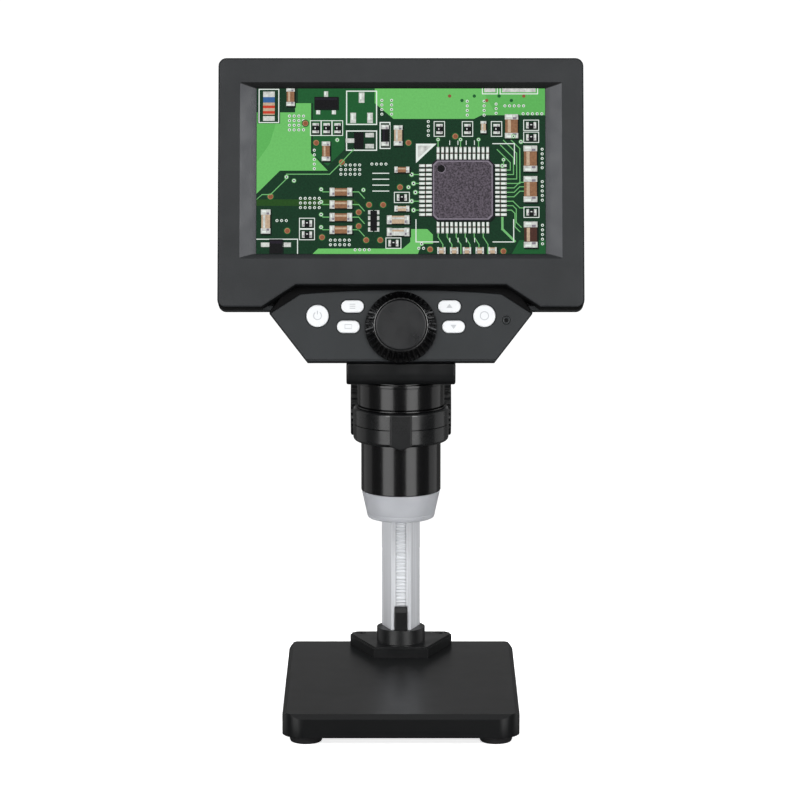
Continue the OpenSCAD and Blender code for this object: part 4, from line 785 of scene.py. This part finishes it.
# Colour, speckle, and the speckle's own grain and spread where it has them
TONES = {
    "field": ((12, 52, 30), 0.3),
    "olive": ((34, 74, 24), 0.15),
    "land": ((106, 188, 100), 0.08),
    "land_shade": ((92, 176, 88), 0.08),
    "mid": ((24, 88, 44), 0.15),
    "trace": ((112, 182, 112), 0.1),
    "chip": ((81, 74, 83), 0.55, 1000.0, 0.1),
    "chip_edge": ((130, 122, 134), 0.2),
    "chip_dark": ((30, 24, 36), 0.3),
    "silver": ((198, 201, 196), 0.35, 500.0),
    "white": ((228, 236, 230), 0.05),
    "brown": ((142, 102, 74), 0.28),
    "tan": ((190, 166, 140), 0.22),
    "dark_brown": ((72, 44, 36), 0.25),
    "black": ((12, 12, 15), 0.35),
    "copper": ((140, 84, 58), 0.15),
    "copper_rim": ((178, 128, 94), 0.1),
    "red": ((196, 60, 40), 0.1),
    "blue": ((52, 96, 150), 0.1),
    "shadow": ((4, 22, 14), 0.2),
}
TONE = {name: i for i, name in enumerate(TONES)}
LAYER = 0.0004


class Picture:
    """Flat coloured shapes laid over each other, placed from the picture's top left corner."""

    def __init__(self):
        self.shape = Shape()
        self.level = 0

    def poly(self, tone, points):
        self.level += 1
        y = GLASS_Y - LAYER * self.level
        self.shape.tag = TONE[tone]
        w, h = PICTURE_W / 2 - 0.05, PICTURE_H / 2 - 0.05
        self.shape.face(self.shape.ring([(max(-w, min(w, u - PICTURE_W / 2)), y,
                                          max(-h, min(h, PICTURE_H / 2 - v))) for u, v in points]))

    def rect(self, tone, u, v, w, h):
        self.poly(tone, [corner[:2] for corner in box_corners(w, h, 0, u, v)])

    def disc(self, tone, u, v, r, n=20):
        self.poly(tone, circle(r, n, u, v))

    def line(self, tone, points, w):
        pts = [Vector(p) for p in points]
        for a, b in zip(pts, pts[1:]):
            d = (b - a).normalized() * w / 2
            s = Vector((-d.y, d.x))
            self.poly(tone, [a - d - s, b + d - s, b + d + s, a - d + s])

    def frame(self, u, v, w, h, t=0.5):
        for side in (-1, 1):
            self.rect("white", u, v + side * h / 2, w + t, t)
            self.rect("white", u + side * w / 2, v, t, h)

    def via(self, u, v):
        """Filled copper hole."""
        r = 1.5
        self.disc("mid", u, v, r * 1.35)
        self.disc("copper_rim", u, v, r)
        self.disc("copper", u + 0.1, v + 0.1, r * 0.78)

    def eye(self, u, v, r=1.0):
        """Small open hole with its bright ring."""
        self.disc("trace", u, v, r * 1.2)
        self.disc("white", u, v, r * 0.8)
        self.disc("field", u, v, r * 0.45)

    def link(self, points, end=None):
        """A track, with an eye at its far end."""
        self.line("trace", points, 0.5)
        if end:
            self.eye(*points[-1], end)

    def body(self, u, v, w, h, upright, tone, light, caps=0.22):
        """Ceramic block with a soldered cap at each end."""
        long, wide = (h, w) if upright else (w, h)

        def put(name, along, side, ll, ww):
            if upright:
                self.rect(name, u + side, v + along, ww, ll)
            else:
                self.rect(name, u + along, v + side, ll, ww)
        cap = long * caps
        self.rect("shadow", u + 0.5, v + 0.6, w + 0.8, h + 0.8)
        for end in (-1, 1):
            put("silver", end * (long - cap) / 2, 0, cap, wide + 0.5)
            put("white", end * (long - cap * 0.7) / 2, -wide * 0.18, cap * 0.35, wide * 0.45)
            put("chip_edge", end * (long - cap * 1.5) / 2, wide * 0.25, cap * 0.4, wide * 0.3)
        put(tone, 0, 0, long - 2 * cap, wide)
        put(light, 0, -wide * 0.18, long - 2 * cap - 0.5, wide * 0.25)

    def capacitor(self, u, v, w, h, tone="brown"):
        self.body(u, v, w, h, h > w, tone, "silver" if tone == "tan" else "tan")

    def resistor(self, u, v, upright=False):
        w, h = (3.0, 5.4) if upright else (5.4, 3.0)
        self.frame(u, v, w + 2.6, h + 2.6, 0.4)
        self.body(u, v, w, h, upright, "black", "chip_dark", 0.26)
        if upright:
            self.rect("white", u - 0.3, v, 0.5, 0.9)
        else:
            self.rect("white", u, v - 0.3, 0.9, 0.5)

    def transistor(self, u, v, w, h, legs_down, legs_up):
        """Black part, with its lower and upper legs at these sideways places."""
        for places, side in ((legs_down, 1), (legs_up, -1)):
            for du in places:
                self.rect("silver", u + du, v + side * (h / 2 + 1.3), 2.2, 3.4)
                self.rect("white", u + du - 0.4, v + side * (h / 2 + 1.8), 0.8, 1.6)
        self.rect("shadow", u + 0.4, v + 0.5, w + 0.6, h + 0.6)
        self.rect("black", u, v, w, h)
        self.rect("chip_dark", u, v - h * 0.32, w - 0.8, h * 0.16)

    def leg(self, du, dv, along):
        """A leg of the chip: du and dv point out of the chip, and along is its place on that side."""
        for name, start, end, w, shift in (("shadow", 0, 1, LEG_W + 0.5, 0.3), ("silver", 0, 1, LEG_W, 0),
                                           ("white", 0.08, 0.42, LEG_W * 0.6, -0.15),
                                           ("dark_brown", 0.46, 0.54, LEG_W, 0),
                                           ("white", 0.6, 0.9, LEG_W * 0.7, 0.1)):
            out = CHIP_SIDE / 2 + LEG_L * (start + end) / 2
            length = LEG_L * (end - start)
            if du:
                self.rect(name, CHIP_U + du * out, CHIP_V + along + shift, length, w)
            else:
                self.rect(name, CHIP_U + along + shift, CHIP_V + dv * out, w, length)

    def chip(self):
        for k in range(LEGS):
            for du, dv in ((1, 0), (-1, 0), (0, 1), (0, -1)):
                self.leg(du, dv, leg_at(k))
        for name, share, shift in (("shadow", 1, 0.8), ("chip_dark", 1, 0), ("chip_edge", 0.965, 0),
                                   ("chip", 0.925, 0)):
            s = CHIP_SIDE / 2 * share
            c = s * 0.14
            pts = [(-s + c, -s), (s - c, -s), (s, -s + c), (s, s - c), (s - c, s), (-s + c, s), (-s, s - c),
                   (-s, -s + c)]
            self.poly(name, [(CHIP_U + a + shift, CHIP_V + b + shift) for a, b in pts])
        for tone, place, r in (("chip_edge", 0.345, 0.068), ("black", 0.35, 0.062)):
            self.disc(tone, CHIP_U - CHIP_SIDE * place, CHIP_V - CHIP_SIDE * place, CHIP_SIDE * r)


CHIP_U, CHIP_V, CHIP_SIDE = 110.0, 55.0, 33.0
LEGS, LEG_PITCH, LEG_L, LEG_W = 12, 2.4, 6.8, 1.45


def leg_at(k):
    """Where a leg stands along its side of the chip, from the side's middle."""
    return (k - (LEGS - 1) / 2) * LEG_PITCH


def copper_areas(p):
    """Bare board, and the copper areas under bright green solder mask."""
    w, h = PICTURE_W, PICTURE_H
    p.rect("field", w / 2, h / 2, w, h)
    p.poly("olive", [(0, 60), (52, 60), (56, 63.5), (0, 63.5)])
    p.poly("mid", [(22, 0), (64, 0), (64, 20), (47, 20), (47, 33), (38, 42), (30, 36), (30, 8), (22, 8)])
    p.poly("land", [(0, 13), (20.5, 13), (20.5, 8), (29, 8), (29, 35), (38, 44.5), (12.5, 44.5), (0, 57)])
    p.poly("land_shade", [(0, 13), (12, 13), (7, 30), (0, 40)])
    p.poly("land", [(63, 0), (w, 0), (w, 14.5), (120, 14.5), (116, 16.5), (73, 16.5), (63, 8)])
    p.poly("land_shade", [(120, 0), (w, 0), (w, 14.5), (128, 14.5)])
    p.poly("land", [(82, 76), (91, 76), (94, 79), (94, 84), (88, 84), (86, h), (30, h), (33, 86.5),
                    (78, 86.5), (82, 83)])
    p.poly("mid", [(140, 82), (w, 82), (w, h), (136, h)])


def fan_out(p):
    """Tracks from the chip's legs."""
    edge = CHIP_SIDE / 2 + LEG_L
    right, left, up, down = CHIP_U + edge, CHIP_U - edge, CHIP_V - edge, CHIP_V + edge
    for k in range(LEGS):
        u, v = CHIP_U + leg_at(k), CHIP_V + leg_at(k)
        if k == 0:
            p.link([(right - 1.6, v), (right - 1.6, v - 3.2)], 0.9)
        elif k < 5:
            lane = right + 0.3 + 1.7 * k
            p.link([(right, v), (lane, v), (lane, 42.6 - 2.5 * k), (lane - 7, 35.6 - 2.5 * k)])
        elif k < 8:
            p.link([(right, v), (right + 4, v), (right + 7, v - 3), (right + 9, v - 3)])
        elif k == 8:
            p.link([(right, v), (right + 3.4, v), (right + 7, v + 3.6), (right + 9.4, v + 3.6)])
        elif k < 11:
            lane = right + 11.4 - 0.7 * k
            p.link([(right, v), (lane - 1.8, v), (lane, v + 1.8), (lane, v + 9), (lane + 2.6, v + 11.6)])
        if k in (2, 4, 6, 8, 10):
            p.link([(left, v), (left - 2 - k % 3, v)], 1.1)
        if k % 2 == 0:
            p.link([(u, down), (u, down + 2), (u + 2.5, down + 6), (u + 2.5, down + 11)])
        if k in (0, 5, 9):
            p.link([(u, up), (u, up - 4)], 0.9)
    p.line("trace", [(131, 69.5), (131, 76), (137.5, 82.5)], 1.2)


def upper_left_parts(p):
    p.rect("field", 6.5, 9.5, 12, 19)
    p.frame(6.5, 9.5, 10.5, 18)
    for v, h, tone in ((3.2, 3, "silver"), (6.2, 3, "blue"), (11, 6.6, "tan"), (10, 1.4, "red"),
                       (13, 1.4, "red"), (16.3, 2.6, "silver")):
        p.rect(tone, 6.5, v, 6.2, h)
    p.capacitor(18, 4.5, 4, 10)
    p.transistor(37, 7.8, 12.5, 6.5, (-4.2, 4.2), (0,))
    for u in (31.5, 37.3, 43.1):
        p.resistor(u, 21.5, True)
    p.frame(56, 10.5, 16, 18, 0.6)
    for u, v in ((51.5, 16), (60.5, 16), (56, 5)):
        p.rect("silver", u, v, 3, 5.6)
        p.rect("white", u - 0.5, v - 0.6, 1.0, 3.2)
    p.frame(56, 28.3, 16, 10.4, 0.6)
    p.rect("black", 54.5, 28.3, 5.2, 9)
    for u, v in ((60.3, 25.3), (60.3, 31.3), (49.8, 28.3)):
        p.rect("silver", u, v, 4.6, 2.4)
    p.frame(68.5, 25.5, 5.2, 14, 0.6)
    p.body(68.5, 25.5, 3.6, 11.5, True, "black", "chip_dark", 0.2)
    p.capacitor(75.5, 25.5, 4.2, 11, "tan")
    p.capacitor(37, 34, 4, 10.5)


def left_parts(p):
    for v in (56, 62.8, 69.6, 76.4):
        p.capacitor(45, v, 12, 4)
        p.link([(38.6, v), (35.5, v), (34.5, v - 1.4)], 1.0)
        p.link([(51.4, v), (54.5, v), (57.5, v + 3.4)])
    for k in range(4):
        for u in (60.8, 64.2):
            p.rect("silver", u, 67 + 3.1 * k, 2.6, 2.2)
    p.rect("black", 62.5, 71.6, 3.6, 11)
    p.capacitor(77.5, 44, 8, 2.8)
    p.resistor(77.5, 59)
    p.capacitor(77.5, 65, 8, 2.6, "tan")
    p.capacitor(75.5, 71, 12, 4.2, "tan")
    p.capacitor(75.5, 77.6, 12, 4, "silver")
    p.resistor(73, 83.6)


def right_parts(p):
    for u in (97.5, 112.5, 128):
        p.resistor(u, 22, True)
    p.capacitor(121, 21, 2.6, 6.5, "tan")
    p.capacitor(136, 20.5, 6.6, 13)
    for v in (20, 26.5, 67):
        p.resistor(146.5, v)
    for v, tone in ((38, "brown"), (54.5, "brown"), (79, "dark_brown")):
        p.capacitor(146, v, 6.8, 14, tone)


def edge_parts(p):
    """Parts along the lower and the upper edge."""
    p.capacitor(5, 72, 4.6, 13, "tan")
    for v in (73, 79):
        p.resistor(27, v)
    p.frame(9, 89, 26, 15)
    p.rect("silver", 10.5, 84.5, 16, 2.4)
    p.transistor(10.5, 86, 7, 9, (), ())
    for k in range(5):
        p.capacitor(98.5 + 6.8 * k, 87.6, 4.4, 3.2, "tan")
    for u, w in ((124.5, 8), (140, 20)):
        p.frame(u, 0.5, w, 5)
        p.rect("silver", u, 0.6, w - 2, 3)


def stitching(p):
    """Groups of small plated holes: the first one's place, and how many go across and down."""
    pitch = 2.5
    for u, v, across, down in (
            (17.5, 15, 4, 4), (30.8, 33.5, 1, 5), (45, 41.5, 5, 3), (61.5, 41, 4, 1), (23.5, 59.5, 5, 3),
            (11, 71.5, 3, 1), (39.5, 82, 5, 2), (66.8, 6.5, 1, 4), (72, 6.5, 1, 4), (91.6, 18, 1, 4),
            (112.4, 7, 1, 4), (121.4, 7, 1, 4), (127.8, 8.5, 1, 3), (132.5, 9.5, 5, 1), (142.2, 13.8, 5, 1),
            (152.3, 33, 1, 5), (152.3, 50.5, 1, 5), (152.3, 74, 1, 5), (52.6, 87.2, 4, 1),
            (86.5, 86.4, 2, 1)):
        for k in range(across * down):
            a, b = u + pitch * (k % across), v + pitch * (k // across)
            p.disc("white", a, b, 0.78, 12)
            p.disc("olive", a + 0.05, b + 0.05, 0.4, 10)


def marks(p):
    """Holes, and the white lines printed round the parts."""
    for u, v in ((26, 19), (31.8, 29.5), (45.5, 40), (81, 29.5), (7.5, 58.5), (106, 26), (60, 63),
                 (67.5, 63), (54.5, 67), (54.5, 74.5), (58.5, 82), (66, 82), (35, 80.5), (16.5, 77),
                 (76.5, 53.5), (92.5, 87), (131.5, 88)):
        p.via(u, v)
    for u, v in ((16, 48), (20, 50), (57, 55), (141, 29), (137, 26), (81, 53.5), (43, 28), (131, 42),
                 (88, 84)):
        p.eye(u, v)
    for k in range(7):
        p.disc("copper" if k % 3 == 0 else "mid", 103 + 6.6 * k, 4.2 + 2.4 * (k % 2), 0.9)
    p.link([(0, 60), (3, 57.5), (7.5, 57.5), (16, 49)])
    p.link([(45.5, 40), (39, 46.5), (16, 46.5)])
    p.link([(45.5, 40), (49, 36), (52, 33)])
    p.poly("white", [(85, 30), (96, 30), (85, 40.5)])
    p.poly("silver", [(86, 31), (93.5, 31), (86, 38)])
    for corner in ([(85, 71), (85, 83), (97, 83)], [(126, 83), (137, 83), (137, 71)],
                   [(126, 30), (137.5, 30), (137.5, 41)]):
        p.line("white", corner, 0.5)
    for k in range(4):
        for v in (28.5, 81):
            p.line("white", [(103 + 4.4 * k, v), (103 + 4.4 * k, v + 2)], 0.4)
        p.line("white", [(62, 46 + 3.2 * k), (70.5, 46 + 3.2 * k)], 0.5)


def picture():
    """A plain circuit board under the lens, with no lettering: plated holes stand where words might."""
    p = Picture()
    copper_areas(p)
    fan_out(p)
    p.chip()
    upper_left_parts(p)
    left_parts(p)
    right_parts(p)
    edge_parts(p)
    stitching(p)
    marks(p)
    tones = [lit("picture_" + name, *look) for name, look in TONES.items()]
    piece("screen_picture", p.shape, "head", tones, HEAD, smooth=10)


# ---- putting it together

feet()
ring_half("holder_ring_upper", RING_SEAM + SEAM_HALF, RING_TOP, 0.25, 1.9)
ring_half("holder_ring_lower", RING_LOW, RING_SEAM - SEAM_HALF, 1.9, 0.25)
tab()
knob("knob_left", -1)
knob("knob_right", 1)
barrel()
light_cap()
bezel()
panel()
indicator()
buttons()
dial()
neck()
picture()

# Material, bevel in millimetres, and the CAD nodes that take them
FINISH = [
    (BASE, 1.1, "base_plate"),
    (LIP, 0.2, "base_cover"),
    (STEEL, 0.5, "base_weight"),
    (STEEL, 0.3, "height_shaft lcd_backlight shaft_bracket"),
    (STEEL, 0.2, "tact_switches usb_socket card_socket dial_shaft"),
    (STEEL, 0, "lens_rack"),
    (BLACK_STEEL, 0, "base_screws foot_screws carriage_screws case_screws neck_screws"),
    (BRASS, 0.2, "dial_bush"),
    (BRASS, 0, "shaft_bushes height_pinion"),
    (FOOT, 0.9, "column_key"),
    (FOOT, 0.8, "column_cap"),
    (FOOT, 0.5, "column_foot"),
    (COLUMN, 0.3, "column"),
    (RACK, 0.1, "column_rack"),
    (HOLDER, 0.6, "sleeve shaft_block"),
    (RUBBER, 0.3, "friction_pad"),
    (REAR, 0.8, "rear_cover"),
    (GLASS_DARK, 0.1, "image_sensor"),
    (GLASS_DARK, 0, "lcd_panel"),
    (GREEN, 0.1, "main_board button_board sensor_board"),
    (BLUE, 0.6, "battery"),
    (PALE, 0.1, "led_board"),
    (YELLOW, 0.3, "leds"),
    (DIAL, 0.3, "lens_carrier"),
    (LENS, 0.2, "objective_lens"),
]
for material, bevel, nodes in FINISH:
    for node in nodes.split():
        cad_finish(node, material, bevel)


# ---- floor, light and camera

PAPER_GLOW = 0.8
SHEET_HALF = 0.4


def white_to_camera(tree, light, output):
    """Adds to a shader a white glow that the camera sees, straight or through the frosted cap.

    So the studio looks white, still takes shadows and puts no more light on the object.
    """
    new, link = tree.nodes.new, tree.links.new
    path, glow, both = new("ShaderNodeLightPath"), new("ShaderNodeEmission"), new("ShaderNodeAddShader")
    seen, gain = new("ShaderNodeMath"), new("ShaderNodeMath")
    seen.operation, gain.operation = "MAXIMUM", "MULTIPLY"
    gain.inputs[1].default_value = light
    surface = output.inputs["Surface"]
    link(path.outputs["Is Camera Ray"], seen.inputs[0])
    link(path.outputs["Is Transmission Ray"], seen.inputs[1])
    link(seen.outputs["Value"], gain.inputs[0])
    link(gain.outputs["Value"], glow.inputs["Strength"])
    link(surface.links[0].from_socket, both.inputs[0])
    link(glow.outputs["Emission"], both.inputs[1])
    link(both.outputs["Shader"], surface)


def paper():
    n = Nodes("studio_paper")
    n.mottle(n.noise(6.0), srgb(244, 244, 244), 0.99, 1.01)
    n.set(Roughness=0.7, Specular_IOR_Level=0.1)
    white_to_camera(n.tree, PAPER_GLOW, n.tree.nodes["Material Output"])
    return n.mat


def stage():
    """The patch of paper that the object stands on. Beyond it the camera sees the white studio."""
    mesh = bpy.data.meshes.new("studio_sheet")
    corners = [(x * SHEET_HALF, y * SHEET_HALF, 0) for x, y in ((-1, -1), (1, -1), (1, 1), (-1, 1))]
    mesh.from_pydata(corners, [], [(0, 1, 2, 3)])
    mesh.materials.append(paper())
    sheet = bpy.data.objects.new("studio_sheet", mesh)
    sheet.visible_glossy = False
    bpy.context.scene.collection.objects.link(sheet)


def area_light(name, place, target, size, power, size_y, glossy=True):
    """Soft lamp of power watts. Without glossy it lights colours but draws no reflection."""
    data = bpy.data.lights.new(name, "AREA")
    data.energy = power
    data.shape = "RECTANGLE"
    data.size = size
    data.size_y = size_y
    obj = bpy.data.objects.new(name, data)
    bpy.context.scene.collection.objects.link(obj)
    obj.visible_camera = False
    obj.visible_glossy = glossy
    obj.location = place
    obj.rotation_euler = (Vector(target) - Vector(place)).to_track_quat("-Z", "Y").to_euler()


def barrel_light(name, azimuth, size, power):
    """Tall lamp beside the barrel: azimuth 0 is in front of it, and grows to the right."""
    a = math.radians(azimuth)
    height, distance = 0.3, 1.3
    y = BARREL_Y * MM
    place = (distance * math.sin(a), y - distance * math.cos(a), height)
    area_light(name, place, (0, y, height), size, power, 1.5)


stage()
barrel_light("soft_left", -37, 0.76, 8.0)
barrel_light("soft_right", 30, 0.7, 7.8)
barrel_light("edge_left", -114, 1.0, 1.45)
barrel_light("edge_right", 108, 0.9, 1.9)
area_light("key_left", (-0.7, -1.5, 1.2), (0, 0, 0.2), 0.9, 12.5, 0.7)
area_light("key_right", (0.8, -1.5, 1.2), (0, 0, 0.2), 0.9, 13.5, 0.7)
area_light("top", (0.0, 0.1, 1.5), (0, 0, 0.1), 1.2, 5.0, 1.2)
area_light("rear_left", (-0.9, 1.5, 0.9), (0, 0, 0.2), 1.5, 18.0, 1.2, glossy=False)
area_light("rear_right", (0.9, 1.5, 0.9), (0, 0, 0.2), 1.5, 18.0, 1.2, glossy=False)
area_light("back", (0.0, 1.7, 0.35), (0, 0, 0.0), 1.6, 0.5, 0.5)

world = bpy.data.worlds.new("studio")
bpy.context.scene.world = world
world.use_nodes = True
background = world.node_tree.nodes["Background"]
background.inputs["Color"].default_value = (1, 1, 1, 1)
background.inputs["Strength"].default_value = 0.09
white_to_camera(world.node_tree, 1.0, world.node_tree.nodes["World Output"])

camera_data = bpy.data.cameras.new("camera")
camera_data.lens = 189.0
camera_data.sensor_width = 36.0
camera = bpy.data.objects.new("camera", camera_data)
camera.location = (-0.0005, -2.2153, 0.5802)
camera.rotation_euler = (math.radians(79.5), 0, 0)
bpy.context.scene.collection.objects.link(camera)
bpy.context.scene.camera = camera
bpy.context.scene.view_settings.view_transform = "Standard"
